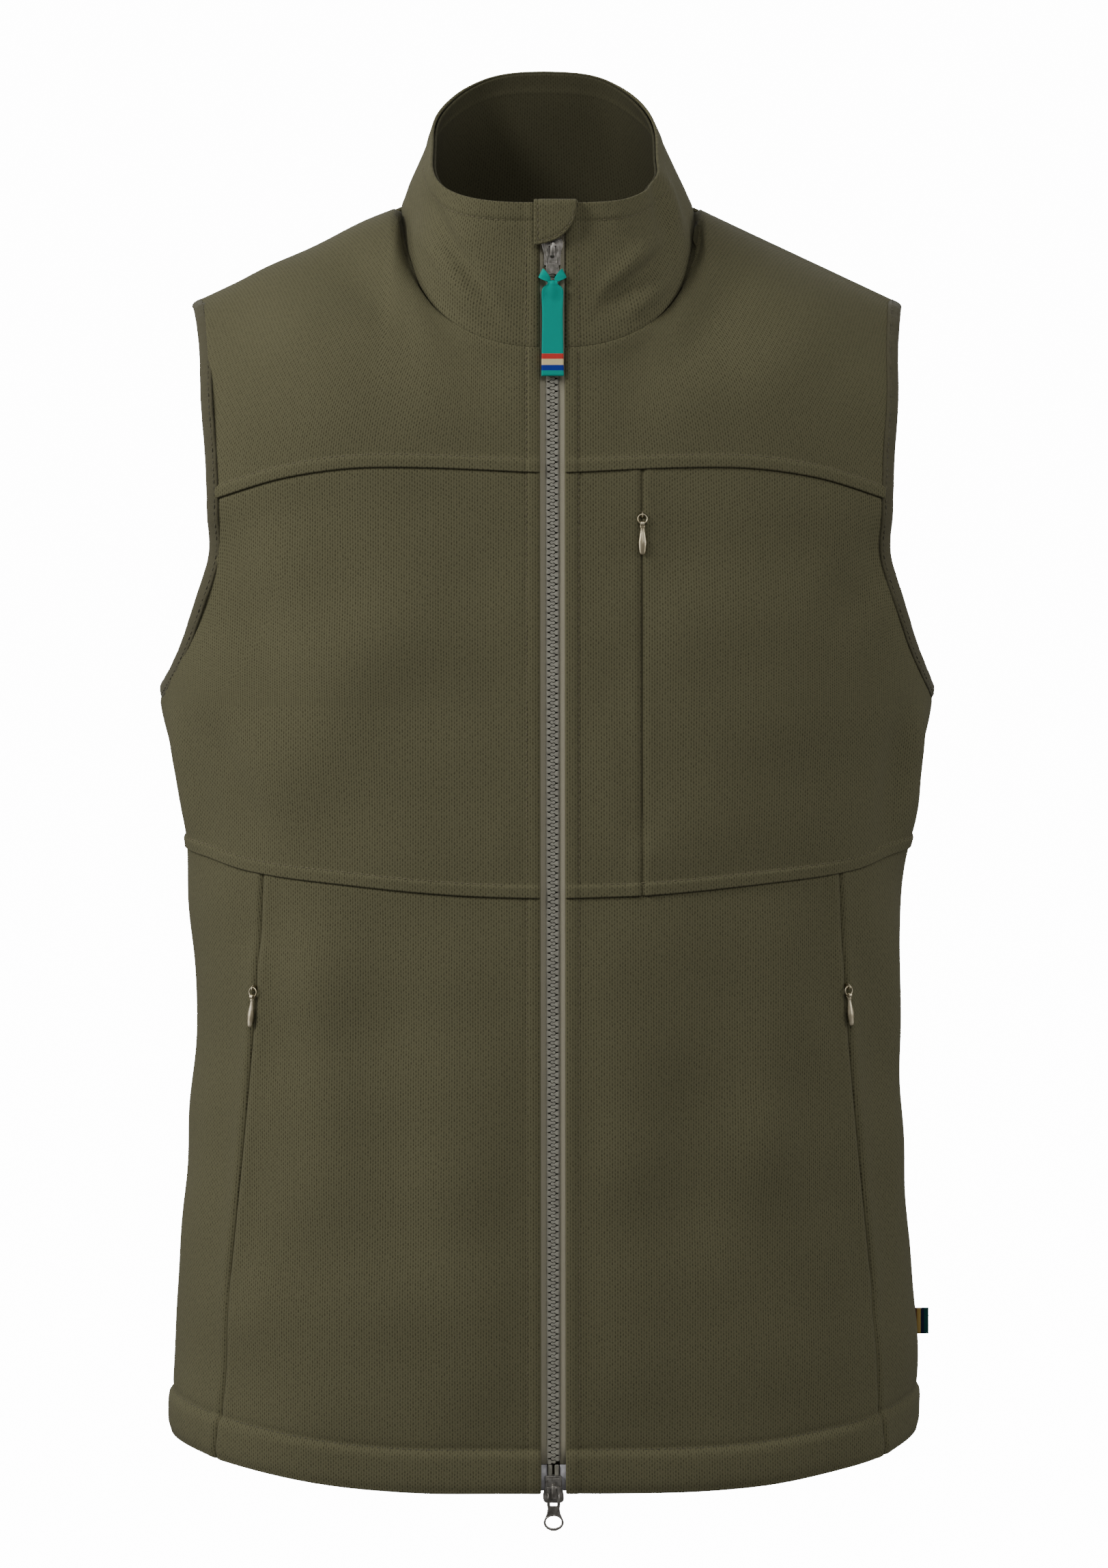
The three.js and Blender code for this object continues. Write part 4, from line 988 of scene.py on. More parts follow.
def closed_tube(name, stations_, section, material, nodes=(), body="vest"):
    """A closed loop swept with a section: stations_ is [(centre, out, normal)], section is [(out, normal)]."""
    n, m = len(stations_), len(section)
    section = np.array(section, float)
    vertices = np.concatenate([c + section[:, :1] * o + section[:, 1:] * k for c, o, k in stations_])
    centres = np.array([c for c, _, _ in stations_])
    length = np.concatenate([[0], np.cumsum(np.linalg.norm(np.diff(centres, axis=0), axis=1))])
    around = np.concatenate([[0], np.cumsum(np.linalg.norm(np.diff(section, axis=0), axis=1))])
    uv = np.stack([np.tile(around, n), np.repeat(length, m)], axis=1)
    ids = np.arange(n * m).reshape(n, m)
    a, b = ids, np.roll(ids, -1, axis=0)
    faces = np.stack([a, b, np.roll(b, -1, axis=1), np.roll(a, -1, axis=1)], axis=-1).reshape(-1, 4)
    obj = add_object(name, place(vertices), faces, material, body, uv)
    fix_normals(obj)
    if nodes:
        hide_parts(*nodes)
    return obj, length


def fix_normals(obj):
    bm = bmesh.new()
    bm.from_mesh(obj.data)
    bmesh.ops.recalc_face_normals(bm, faces=bm.faces)
    bm.to_mesh(obj.data)
    bm.free()


def edge_points(surface, u, vs):
    v = np.asarray(vs, float)
    return seam_line(surface, np.full_like(v, u), v, 0.0)


chest_vs = np.linspace(0, 1, 121)
front_edge = chest_whole(np.ones(121), chest_vs)
reach = front_edge[:, 2] >= ARMPIT + 0.5
pieces_of_edge = [
    edge_points(chest_whole, 1.0, chest_vs[reach]), edge_points(front_yoke, 1.0, np.linspace(0.01, 1, 44)),
    edge_points(back_yoke, 1.0, np.linspace(1, 0.01, 44)),
    edge_points(panel(centre_back, arm_back, over_waist, under_yoke), 1.0, chest_vs[reach][::-1]),
]
edge_loop = np.concatenate([p for p, _ in pieces_of_edge])
edge_normal = np.concatenate([n for _, n in pieces_of_edge])


def resample(p, n, count, closed=True):
    """Even spacing and light smoothing along a loop."""
    if closed:
        p, n = np.concatenate([p, p[:1]]), np.concatenate([n, n[:1]])
    dist = np.concatenate([[0], np.cumsum(np.linalg.norm(np.diff(p, axis=0), axis=1))])
    at = np.linspace(0, dist[-1], count, endpoint=not closed)
    p = np.stack([np.interp(at, dist, p[:, k]) for k in range(3)], axis=1)
    n = np.stack([np.interp(at, dist, n[:, k]) for k in range(3)], axis=1)
    for _ in range(3):
        p = (np.roll(p, 1, 0) + 2 * p + np.roll(p, -1, 0)) / 4 if closed else p
        n = (np.roll(n, 1, 0) + 2 * n + np.roll(n, -1, 0)) / 4 if closed else n
    return p, n / np.linalg.norm(n, axis=1, keepdims=True)


edge_loop, edge_normal = resample(edge_loop, edge_normal, 300)
forward = np.roll(edge_loop, -1, 0) - np.roll(edge_loop, 1, 0)
outward = np.cross(forward, edge_normal)
outward /= np.linalg.norm(outward, axis=1, keepdims=True)
if (outward * (edge_loop.mean(0) - edge_loop)).sum() < 0:
    outward = -outward
edge_normal = np.cross(outward, forward)
edge_normal /= np.linalg.norm(edge_normal, axis=1, keepdims=True)
if edge_normal[:, 0].sum() < 0:
    edge_normal = -edge_normal
pucker = 0.10 * np.sin(np.arange(300) * 2.1) + 0.14 * np.sin(np.arange(300) * 0.83 + 1)
# Half an oval that wraps the cut edge: from the face, round the fold, to the inside.
wrap = [(-1.6, 0.0), (-1.6, 0.55), (-0.9, 0.95), (0.4, 1.15), (2.2, 1.25), (4.2, 1.05), (5.6, 0.45), (6.3, -0.5),
        (6.1, -1.5), (5.0, -2.2), (3.0, -2.5), (0.8, -2.45), (-1.0, -2.2), (-1.6, -1.9), (-1.5, -1.7), (0.2, -1.75),
        (0.2, 0.0)]
for side, hand in ((-1, "right"), (1, "left")):
    flip = np.array([side, 1, 1])
    loop = zip(edge_loop, outward, edge_normal, pucker)
    rails = [(p * flip, o * flip, n * flip * (1 + dp)) for p, o, n, dp in loop]
    closed_tube(f"armhole_band_{hand}", rails, wrap, binding_cloth, [f"armhole_binding_{hand}"])
    run = (edge_loop + outward * 0.3 + edge_normal * 1.15) * flip
    facing_out = edge_normal * flip
    line = np.concatenate([run, run[:1]]), np.concatenate([facing_out, facing_out[:1]])
    stitch(f"armhole_stitches_{hand}", [line], thread_dark)

# ---- topstitching -------------------------------------------------------------------------------


def across_line(surface, v_at, u0=0.01, u1=0.99, count=260, relief=0.0, folding=folds):
    """A line that keeps a distance from a piece's low (positive) or high (negative) edge."""
    u = np.linspace(u0, u1, count)
    grid_v = np.linspace(0, 1, 81)
    uu, vv = np.meshgrid(u, grid_v)
    dist = run_lengths(surface(uu, vv), 0)
    goal = np.full(count, v_at) if v_at > 0 else dist[-1] + v_at
    v = np.array([np.interp(goal[i], dist[:, i], grid_v) for i in range(count)])
    return seam_line(surface, u, v, relief, folding)


def up_line(surface, d, from_right=False, v0=0.0, v1=1.0, count=260, relief=0.0, folding=folds):
    """A line that keeps a distance from a piece's left or right edge."""
    v = np.linspace(v0, v1, count)
    grid_u = np.linspace(0, 1, 161)
    uu, vv = np.meshgrid(grid_u, v)
    dist = run_lengths(surface(uu, vv), 1)
    goal = dist[:, -1] - d if from_right else np.full(count, d)
    u = np.array([np.interp(goal[i], dist[i], grid_u) for i in range(count)])
    return seam_line(surface, u, v, relief, folding)


groove = 0.12  # threads lie just proud of the bottom of their groove
for side, hand in ((-1, "right"), (1, "left")):
    lower, yoke = mirrored(lower_front, side), mirrored(front_yoke, side)
    chest = mirrored(chest_whole, side)
    lines = [
        up_line(lower, PLACKET_STITCH, v0=0.075, relief=groove - 0.35),
        up_line(chest, PLACKET_STITCH, relief=groove - 0.25),
        up_line(yoke, PLACKET_STITCH, v1=0.995, relief=groove - 0.25),
        up_line(collar, PLACKET_STITCH, side > 0, 0.01, 0.87, relief=groove - 0.2, folding=collar_folds),
    ]
    stitch(f"placket_stitches_{hand}", lines, thread)
    laps = [
        across_line(chest, LAP_STITCH, 0.045, 0.985, relief=groove + 0.15),
        across_line(yoke, LAP_STITCH, 0.045, 0.985, relief=groove + 0.15),
    ]
    stitch(f"lap_stitches_{hand}", laps, thread)
    hems = [
        across_line(lower, HEM_STITCH, 0.045, 0.995, relief=-0.55),
        across_line(mirrored(lower_side, side), HEM_STITCH, 0.01, 0.99, relief=-0.55),
    ]
    stitch(f"hem_stitches_{hand}", hems, thread_dark)
back_lines = [
    across_line(upper_back, LAP_STITCH, relief=groove + 0.15),
    across_line(back_yoke_whole, LAP_STITCH, relief=groove + 0.15),
]
stitch("back_lap_stitches", back_lines, thread)
stitch("back_hem_stitches", [across_line(lower_back, HEM_STITCH, relief=-0.55)], thread_dark)
rim_line = across_line(collar, -RIM_STITCH, 0.026, 0.974, 420, groove - 0.3, collar_folds)
stitch("rim_stitches", [rim_line], thread)

# ---- front zip ----------------------------------------------------------------------------------


def flat_cloth(name, frame, xs, y0, y1, z0, z1, material, nodes=(), body="vest"):
    """A flat band of cloth in a local frame, with rounded edges."""
    width, long = abs(xs[1] - xs[0]), z1 - z0
    columns = np.array([0, 0.06, 0.2, 0.5, 0.8, 0.94, 1.0])
    rows = np.linspace(0, 1, max(int(long / 12), 2) + 1)
    lows = np.array([0.35, 0.08, 0, 0, 0, 0.08, 0.35])
    thick = y1 - y0
    front, back = [], []
    for r in rows:
        z = z0 + r * long
        for c, low in zip(columns, lows):
            front.append((mix(xs[0], xs[1], c), y0 + low * thick, z))
            back.append((mix(xs[0], xs[1], c), y1 - low * thick, z))
    faces = shell_faces(len(rows), len(columns))
    vertices = np.array(front + back)
    uv = np.stack([np.abs(vertices[:, 0] - xs[0]), vertices[:, 2]], axis=1)
    obj = add_object(name, place(frame.at(vertices)), faces, material, body, uv)
    fix_normals(obj)
    if nodes:
        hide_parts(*nodes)
    return obj


ZIP_TOP = RIM_FRONT_Z - 8
PIN = 14.4
CHAIN_TOP = ZIP_TOP - 5
TOOTH_PITCH = 3.3
TOOTH_FRONT, TOOTH_BACK = 1.0, 3.6
TAPE = (3.3, 15.3, 1.9, 2.7)
SLIDER_BACK = TOOTH_BACK + 0.3 + 0.9
POST_CLEAR = 0.15  # between the chain and the stubs of a slider's post


def block_mesh(x, y, z):
    x, y, z = sorted(x), sorted(y), sorted(z)
    v = [(a, b, c) for a in x for b in y for c in z]
    f = [(0, 1, 3, 2), (4, 6, 7, 5), (0, 4, 5, 1), (2, 3, 7, 6), (0, 2, 6, 4), (1, 5, 7, 3)]
    return np.array(v, float), f


def prism_mesh(outline, y0, y1):
    """A closed (x, z) outline, wound either way, drawn from y0 to y1."""
    n = len(outline)
    v = [(x, y0, z) for x, z in outline] + [(x, y1, z) for x, z in outline]
    f = [tuple(range(n)), tuple(range(2 * n - 1, n - 1, -1))]
    f += [(i, i + n, (i + 1) % n + n, (i + 1) % n) for i in range(n)]
    return np.array(v, float), f


def tube_mesh(path, radius, sides=12, closed=False):
    """A round wire along a path; radius is one number or one for each point."""
    path = np.array(path, float)
    n = len(path)
    r = np.broadcast_to(radius, n)
    step_ = np.roll(path, -1, 0) - np.roll(path, 1, 0) if closed else np.gradient(path, axis=0)
    step_ /= np.linalg.norm(step_, axis=1, keepdims=True)
    ref = np.array([0.0, 1.0, 0.0]) if np.abs(step_[:, 1]).max() < 0.9 else np.array([1.0, 0.0, 0.0])
    a = np.cross(step_, ref)
    a /= np.linalg.norm(a, axis=1, keepdims=True)
    b = np.cross(step_, a)
    v = np.concatenate([
        path[i] + r[i] * (math.cos(t) * a[i] + math.sin(t) * b[i])[None]
        for i in range(n) for t in np.arange(sides) * 2 * math.pi / sides
    ])
    f = []
    for i in range(n if closed else n - 1):
        j = (i + 1) % n
        f += [(i * sides + k, i * sides + (k + 1) % sides, j * sides + (k + 1) % sides, j * sides + k)
              for k in range(sides)]
    if not closed:
        f += [tuple(range(sides))[::-1], tuple(range((n - 1) * sides, n * sides))]
    return v, f


def joined(parts):
    vertices, faces = [], []
    for v, f in parts:
        faces += [tuple(i + len(vertices) for i in face) for face in f]
        vertices += [tuple(p) for p in v]
    return np.array(vertices), faces


def solid(name, frame, parts, material, body="vest", nodes=(), bevel=0.0, segments=3, hole=None):
    """Hard pieces: closed meshes in one object, with rounded edges and an optional hole through all."""
    v, f = joined(parts)
    obj = add_object(name, place(frame.at(v)), f, material, body)
    fix_normals(obj)
    if hole is not None:
        cut_out(obj, frame, hole)
    if bevel:
        m = obj.modifiers.new("bevel", "BEVEL")
        m.width, m.segments, m.limit_method, m.angle_limit = bevel / 1000, segments, "ANGLE", math.radians(32)
        m.harden_normals = True
    if nodes:
        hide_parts(*nodes)
    return obj


def smooth_over(obj, levels):
    m = obj.modifiers.new("round", "SUBSURF")
    m.levels = m.render_levels = levels


def cut_out(obj, frame, parts):
    """Cuts closed meshes out of obj for good."""
    v, f = joined(parts)
    mesh = bpy.data.meshes.new("cutter")
    mesh.from_pydata([tuple(p) for p in place(frame.at(v))], [], f)
    cutter = bpy.data.objects.new("cutter", mesh)
    bpy.context.scene.collection.objects.link(cutter)
    fix_normals(cutter)
    m = obj.modifiers.new("cut", "BOOLEAN")
    m.operation, m.object, m.solver = "DIFFERENCE", cutter, "EXACT"
    m.use_self = True
    bpy.context.view_layer.update()
    done = bpy.data.meshes.new_from_object(obj.evaluated_get(bpy.context.evaluated_depsgraph_get()))
    obj.modifiers.clear()
    obj.data = done
    done.polygons.foreach_set("use_smooth", np.ones(len(done.polygons), bool))
    bpy.data.objects.remove(cutter)


def tooth_outline():
    """One tooth of the side at +x, in (x, z): a body on the tape, a neck, and a round head past the centre."""
    turns = np.linspace(math.radians(40), math.radians(320), 13)
    head = [(-0.47 + 0.86 * math.cos(a), 0.84 * math.sin(a)) for a in turns]
    neck = [(3.0, 1.32), (1.75, 1.34), (1.42, 1.22), (1.18, 0.80), (0.62, 0.58)]
    return neck + head + [(x, -z) for x, z in reversed(neck)]


def tooth_mesh(side):
    """The tooth with its face crowned and its edges eased."""
    outline = np.array(tooth_outline())
    middle = np.array([1.2, 0.0])
    rings = []
    for y, inset in ((TOOTH_FRONT + 0.0, 0.30), (TOOTH_FRONT + 0.12, 0.13), (TOOTH_FRONT + 0.38, 0.0),
                     (TOOTH_BACK - 0.3, 0.0), (TOOTH_BACK, 0.22)):
        toward = middle - outline
        shrink = outline + toward / np.linalg.norm(toward, axis=1, keepdims=True) * inset
        rings.append([(side * x, y, z) for x, z in shrink])
    n = len(outline)
    v = np.array([p for ring_ in rings for p in ring_])
    f = [tuple(range(n))] + [tuple(range(5 * n - 1, 4 * n - 1, -1))]
    for i in range(4):
        f += [(i * n + k, (i + 1) * n + k, (i + 1) * n + (k + 1) % n, i * n + (k + 1) % n) for k in range(n)]
    return v, f


FACING_TOP = NECK_FRONT_Z - 20
for side, hand in ((-1, "right"), (1, "left")):
    start = (PIN + 0.3) * LONG + 1.2 + (TOOTH_PITCH / 2 if side > 0 else 0)
    count = int((CHAIN_TOP * LONG - start - 0.9) / TOOTH_PITCH)
    v, f = tooth_mesh(side)
    axes = front_zip.axes
    frames = [(front_zip.at((0, 0, start + i * TOOTH_PITCH)), *axes) for i in range(count)]
    vertices, faces = copies((v, f, []), frames)
    # The cord that the teeth are moulded on, which joins each side's teeth.
    reach_z = (start - 1.0, start + (count - 1) * TOOTH_PITCH + 1.0)
    cord_v, cord_f = block_mesh((side * 2.55, side * 3.35), (1.75, 2.9), reach_z)
    vertices = np.concatenate([vertices, front_zip.at(cord_v)])
    faces += [tuple(i + len(vertices) - 8 for i in face) for face in cord_f]
    teeth = add_object(f"teeth_{hand}", place(vertices), faces, tooth, smooth_faces=False)
    fix_normals(teeth)
    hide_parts(f"zip_teeth_{hand}")
    stop_low = CHAIN_TOP * LONG + 0.3
    solid(f"top_stop_{hand}", front_zip, [block_mesh((side * 0.6, side * 3.0), (1.0, 3.6), (stop_low, stop_low + 3))],
          tooth, nodes=[f"zip_top_stop_{hand}"], bevel=0.4)
    pin_name = "zip_insert_pin" if side < 0 else "zip_retainer_pin"
    solid(f"{pin_name}_metal", front_zip, [block_mesh((side * 0.6, side * 2.9), (1.2, 3.4), (0.5, PIN))], tooth,
          nodes=[pin_name], bevel=0.5)
    flat_cloth(f"tape_{hand}", front_zip, (side * TAPE[0], side * TAPE[1]), TAPE[2], TAPE[3], (PIN + 0.3) * LONG,
               ZIP_TOP * LONG, tape_weave, [f"zip_tape_{hand}"])
    flat_cloth(f"film_{hand}", front_zip, (side * TAPE[0], side * TAPE[1]), TAPE[2], TAPE[3], 1, PIN, film,
               [f"zip_film_{hand}"])
    flat_cloth(f"facing_{hand}", front_zip, (side * 7.1, side * 25.1), 3.0, 4.4, 2, FACING_TOP, facing_cloth,
               [f"zip_facing_{hand}"])
flat_cloth("guard_cloth", front_zip, (-16, 16), SLIDER_BACK + 0.3, SLIDER_BACK + 1.7, 4, ZIP_TOP - 2, facing_cloth,
           ["zip_guard"])


def arc(cx, cz, rx, rz, a0, a1, count):
    turns = np.linspace(math.radians(a0), math.radians(a1), count)
    return [(cx + rx * math.cos(a), cz + rz * math.sin(a)) for a in turns]


def slider_outline(half_nose, half_tail, long):
    """Half from the nose down, mirrored: square shoulders, a waist, then legs that flare to the tail."""
    right = [(half_nose - 2.2, 0), (half_nose - 0.9, -0.35), (half_nose - 0.15, -1.3), (half_nose, -2.6),
             (half_nose - 0.15, -4.4), (half_nose - 0.75, -6.4), (half_tail - 0.15, -8.6), (half_tail - 0.3, -10.6),
             (half_tail, -12.6), (half_tail - 0.1, -long + 0.5), (half_tail - 0.6, -long)]
    return right + [(-x, z) for x, z in reversed(right)]


def slider_parts():
    """A slider with its nose up at z = 0; y = 0 is the panel face.

    The post that joins a real slider's plates is cut down to a stub on each, because the chain here
    can't part round it.
    """
    body = slider_outline(5.4, 4.3, 14)
    parts = [prism_mesh(body, -0.7, 0.7), prism_mesh(body, TOOTH_BACK + 0.3, SLIDER_BACK)]
    raised_ = [(x * 0.78, -0.9 + (z + 0.9) * 0.86 - 0.5) for x, z in slider_outline(5.4, 4.3, 14)]
    parts.append(prism_mesh(raised_, -1.15, -0.6))
    for s in (-1, 1):
        parts.append(block_mesh((s * 3.4, s * 4.3), (0.5, 1.6), (-13.8, -3)))
        parts.append(block_mesh((s * 3.4, s * 4.3), (3.0, 4.1), (-13.8, -3)))
    for stub in ((0.5, TOOTH_FRONT - POST_CLEAR), (TOOTH_BACK + POST_CLEAR + 0.05, SLIDER_BACK - 0.7)):
        parts.append(block_mesh((-0.3, 0.3), stub, (-5, -0.2)))
    path = [(0, -0.7, -1.9), (0, -1.9, -1.95), (0, -2.75, -2.6), (0, -3.05, -4.0), (0, -3.1, -5.7), (0, -3.05, -7.4),
            (0, -2.75, -8.8), (0, -1.9, -9.45), (0, -0.7, -9.5)]
    v, f = tube_mesh(path, 0.62, 12)
    v[:, 0] *= 1.75
    parts.append((v, f))
    return parts


def puller_parts(shoulder, foot, long):
    """A puller hanging from the bar at z = 0: rails round a slot, a waist, a wider foot with its eye."""
    z_foot = -long + 4.6
    right = [(shoulder, 0.3), (shoulder, -8.6), (shoulder - 0.25, -10.6), (shoulder + 0.1, -13.0), (foot, z_foot)]
    outline = [(shoulder - 0.5, 0.6)] + right + arc(0, z_foot, foot, 4.6, 0, -180, 15)[1:-1]
    outline += [(-x, z) for x, z in reversed(right)] + [(-shoulder + 0.5, 0.6)]
    return [prism_mesh(outline, -0.65, 0.65)]


def puller_rails():
    """Raised edges beside the slot, low enough to clear the garage and the slider when swung up."""
    return [tube_mesh([(s * 2.75, -0.45, -2.2), (s * 2.75, -0.45, -9.6)], 0.28, 10) for s in (-1, 1)]


SLOT_HALF, SLOT_LOW = 1.8, -9.1
PIVOT_Y = -1.70
NOSE_TOP = (RIM_FRONT_Z - 18) * LONG
PIVOT_DROP = 1.5 + 1.2 + 0.3 + 0.6

top_frame = front_zip.moved((0, 0, NOSE_TOP))
solid("top_slider_body", top_frame, slider_parts(), nickel, "top_slider", ["top_slider"], 0.28)
top_pull = front_zip.moved((0, PIVOT_Y, NOSE_TOP - PIVOT_DROP))
slot = block_mesh((-SLOT_HALF, SLOT_HALF), (-3, 3), (SLOT_LOW, -0.6))
top_eye = prism_mesh(arc(0, -16.9, 2.9, 2.1, 0, 360, 25)[:-1], -3, 3)
solid("top_puller_body", top_pull, puller_parts(3.4, 4.2, 21), nickel, "top_puller", ["top_puller"], 0.26,
      hole=[slot, top_eye])
solid("top_puller_rails", top_pull, puller_rails(), nickel, "top_puller")

flipped = Frame(front_zip.at((0, 0, -5)), -front_zip.axes[0], front_zip.axes[1], -front_zip.axes[2])
solid("bottom_slider_body", flipped, slider_parts(), nickel, "bottom_slider", ["bottom_slider"], 0.28)
bottom_pull = front_zip.moved((0, PIVOT_Y, -5 + 1.5 + 8.4 - 2.1))
bottom_eye = prism_mesh(arc(0, -17.5, 4.1, 3.1, 0, 360, 29)[:-1], -3, 3)
solid("bottom_puller_body", bottom_pull, puller_parts(3.4, 5.3, 22), nickel, "bottom_puller",
      ["bottom_puller"], 0.28, hole=[slot, bottom_eye])
rails = puller_rails()
turns = np.linspace(0, 2 * math.pi, 33)[:-1]
eye_rim = [(4.65 * math.cos(t), -0.42, -17.5 + 3.6 * math.sin(t)) for t in turns]
rails.append(tube_mesh(eye_rim, 0.34, 10, True))
solid("bottom_puller_rails", bottom_pull, rails, nickel, "bottom_puller")

# The tab: a doubled ribbon that narrows to pass the eye and lies in two layers below it.
tab_frame = top_pull.moved((0, 0, -20))


def tab_sheet():
    half_at = smooth([(0, 2.5), (0.8, 3.6), (2.2, 5.1), (4.5, 5.55), (14, 5.3), (30, 5.45), (47, 5.75)])
    front, back, uvs = [], [], []
    us_ = np.linspace(-1, 1, 15)
    zs = np.concatenate([np.linspace(1.95, -2, 9), np.linspace(-3, -12, 13), np.linspace(-13.5, -47, 34)])
    for z in zs:
        d = max(-z, 0)
        half = float(half_at(d))
        gather = 1 - step(np.array(d), 2, 16)
        if z > -1.2:
            bow = 1.95 * math.sqrt(max(1 - (z / 1.95) ** 2, 0))
        else:
            bow = 1.15 * (1 - step(np.array(-z), 1.2, 9)) + 0.55
        for u in us_:
            crease = 0.5 * gather * math.cos(u * math.pi * 1.5) + 0.12 * math.sin(z * 0.21 + u * 2)
            x = u * half
            front.append((x, -max(bow + crease * 0.6, 0.25) - 0.25, z))
            back.append((x, max(bow + crease * 0.4, 0.25) + 0.25, z))
            uvs.append((x, z + 47))
    faces = shell_faces(len(zs), len(us_))[:, ::-1]
    return np.array(front + back), faces, np.array(uvs + uvs)


def ear_mesh(side):
    """One ear of the ribbon's knot: out of the eye, over the puller's edge, spreading upwards."""
    path = np.array([(1.2, -0.6, 1.9), (2.2, -1.35, 2.6), (3.4, -1.6, 3.6), (4.7, -1.5, 4.6),
                     (5.7, -0.9, 5.4), (6.2, 0.1, 5.8)])
    half = np.array([0.9, 1.5, 2.0, 2.35, 2.5, 2.4])
    us_ = np.linspace(-1, 1, 7)
    front, back = [], []
    for i, (x, y, z) in enumerate(path):
        for u in us_:
            lean = 0.62 * u * half[i]
            ruffle = 0.28 * math.cos(u * 4 + i) * i / 5
            p = np.array([side * (x - lean * 0.75), y + ruffle, z + u * half[i] * 0.95])
            front.append(p - (0, 0.26, 0))
            back.append(p + (0, 0.26, 0))
    return np.array(front + back), [tuple(face) for face in shell_faces(len(path), len(us_))]


v, f, uv = tab_sheet()
tab = add_object("ribbon_tab", place(tab_frame.at(v)), f, ribbon, "pull_tab", uv)
fix_normals(tab)
v, f = joined([ear_mesh(-1), ear_mesh(1)])
# The ears are the ribbon's loop round the eye, so they ride on the puller and not on the hanging end.
ear_uv = np.stack([v[:, 0], v[:, 2] + 47], axis=1)
ears = add_object("ribbon_ears", place(tab_frame.at(v)), f, ribbon, "top_puller", ear_uv)
fix_normals(ears)
smooth_over(ears, 2)
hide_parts("pull_tab")

# ---- zip garage ---------------------------------------------------------------------------------

GARAGE_X = (-9.5, 12.5)
GARAGE_TOP = (RIM_FRONT_Z + 0.6) * LONG + 1.2
GARAGE_LOW = GARAGE_TOP - 23.6


def bezier(p0, p1, p2, p3, t):
    t = np.asarray(t)[..., None]
    return (1 - t) ** 3 * p0 + 3 * (1 - t) ** 2 * t * p1 + 3 * (1 - t) * t * t * p2 + t ** 3 * p3


left, right = GARAGE_X
flap_edge = bezier(*(np.array(q, float) for q in (
    (left, GARAGE_LOW), (left + 11, GARAGE_LOW + 0.8), (right - 1, GARAGE_LOW + 6), (right, GARAGE_TOP - 3))),
    np.linspace(0, 1, 60))


def garage_surface(u, v):
    """v runs from inside the collar over the rim and down the front to the curved edge."""
    x = mix(left, right, u)
    end = np.interp(x, flap_edge[:, 0], flap_edge[:, 1])
    inside_low = ZIP_TOP * LONG + 0.3
    front_y, back_y, round_ = -4.75, SLIDER_BACK - 0.2, 2.2
    inner, over = GARAGE_TOP - inside_low - round_, back_y - front_y - 2 * round_ + math.pi * round_
    outer = np.maximum(GARAGE_TOP - round_ - end, 0.3)
    s = v * (inner + over + outer)
    a = np.clip((s - inner) / over, 0, 1) * math.pi
    z = np.where(s < inner, inside_low + s, GARAGE_TOP - round_ + round_ * np.sin(a))
    z = np.where(s > inner + over, GARAGE_TOP - round_ - (s - inner - over), z)
    y = mix(back_y, front_y, (1 - np.cos(a)) / 2)
    puff = 0.25 * np.sin(u * 7 + z * 0.35) * (s > inner + over)
    return front_zip.at(points(x, y - puff, z))


def garage_piece():
    us_, vs_ = stations(22, (0, 0.5, 1.1, 1.6, 2.0, 2.5, 3.2), (0, 0.5, 1.1, 1.6, 2.0, 2.5, 3.2), 1.6), stations(
        40, (0, 1, 2), (0, 0.5, 1.1, 1.6, 2.0, 2.5, 3.2), 1.2)
    u, v = np.meshgrid(us_, vs_)
    base = garage_surface(u, v)
    du, dv = np.gradient(base, axis=1), np.gradient(base, axis=0)
    n = np.cross(du, dv)
    n /= np.maximum(np.linalg.norm(n, axis=-1, keepdims=True), 1e-9)
    if n[-3, 8, 1] > 0:
        n = -n
    edge = np.minimum(np.minimum(run_lengths(base, 1), run_lengths(base[:, ::-1], 1)[:, ::-1]),
                      run_lengths(base[::-1], 0)[::-1])
    relief = 0.18 - 0.38 * bell(edge - 2.0, 0.55) - 0.45 * bell(edge, 0.4)
    outer, inner_ = base + n * (relief + 0.25)[..., None], base - n * 0.5
    faces = shell_faces(*u.shape)
    uv = np.stack([run_lengths(base, 1), run_lengths(base, 0)], axis=-1).reshape(-1, 2)
    obj = add_object("garage_cloth", place(np.concatenate([outer.reshape(-1, 3), inner_.reshape(-1, 3)])), faces,
                     shell, "vest", np.concatenate([uv, uv]))
    fix_normals(obj)
    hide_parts("zip_garage")
    path = np.concatenate([
        [(left + 2.0, z) for z in np.linspace(GARAGE_TOP - 2.5, GARAGE_LOW + 3.0, 30)],
        [(x, np.interp(x, flap_edge[:, 0], flap_edge[:, 1]) + 2.0 + 0.5 * step(x, 8, 11))
         for x in np.linspace(left + 2.3, right - 2.1, 40)],
        [(right - 2.0, z) for z in np.linspace(GARAGE_TOP - 5, GARAGE_TOP - 2.5, 4)],
    ])
    puff = 0.25 * np.sin((path[:, 0] - left) / (right - left) * 7 + path[:, 1] * 0.35)
    line = front_zip.at(points(path[:, 0], -4.95 - puff, path[:, 1]))
    stitch("garage_stitches", [(line, np.tile(-front_zip.axes[1], (len(line), 1)))], thread)


garage_piece()

# ---- pocket zips --------------------------------------------------------------------------------

STEM = 0.5
SLOT_EDGE = STEM / 2 + 0.3


def coil_mesh(x, y, z0, z1):
    pitch = 0.95
    zs = np.arange(z0, z1, pitch / 4)
    wave = 0.62 + 0.16 * np.cos(2 * math.pi * (zs - z0) / pitch)
    return tube_mesh([(x, y, z) for z in zs], wave, 8)


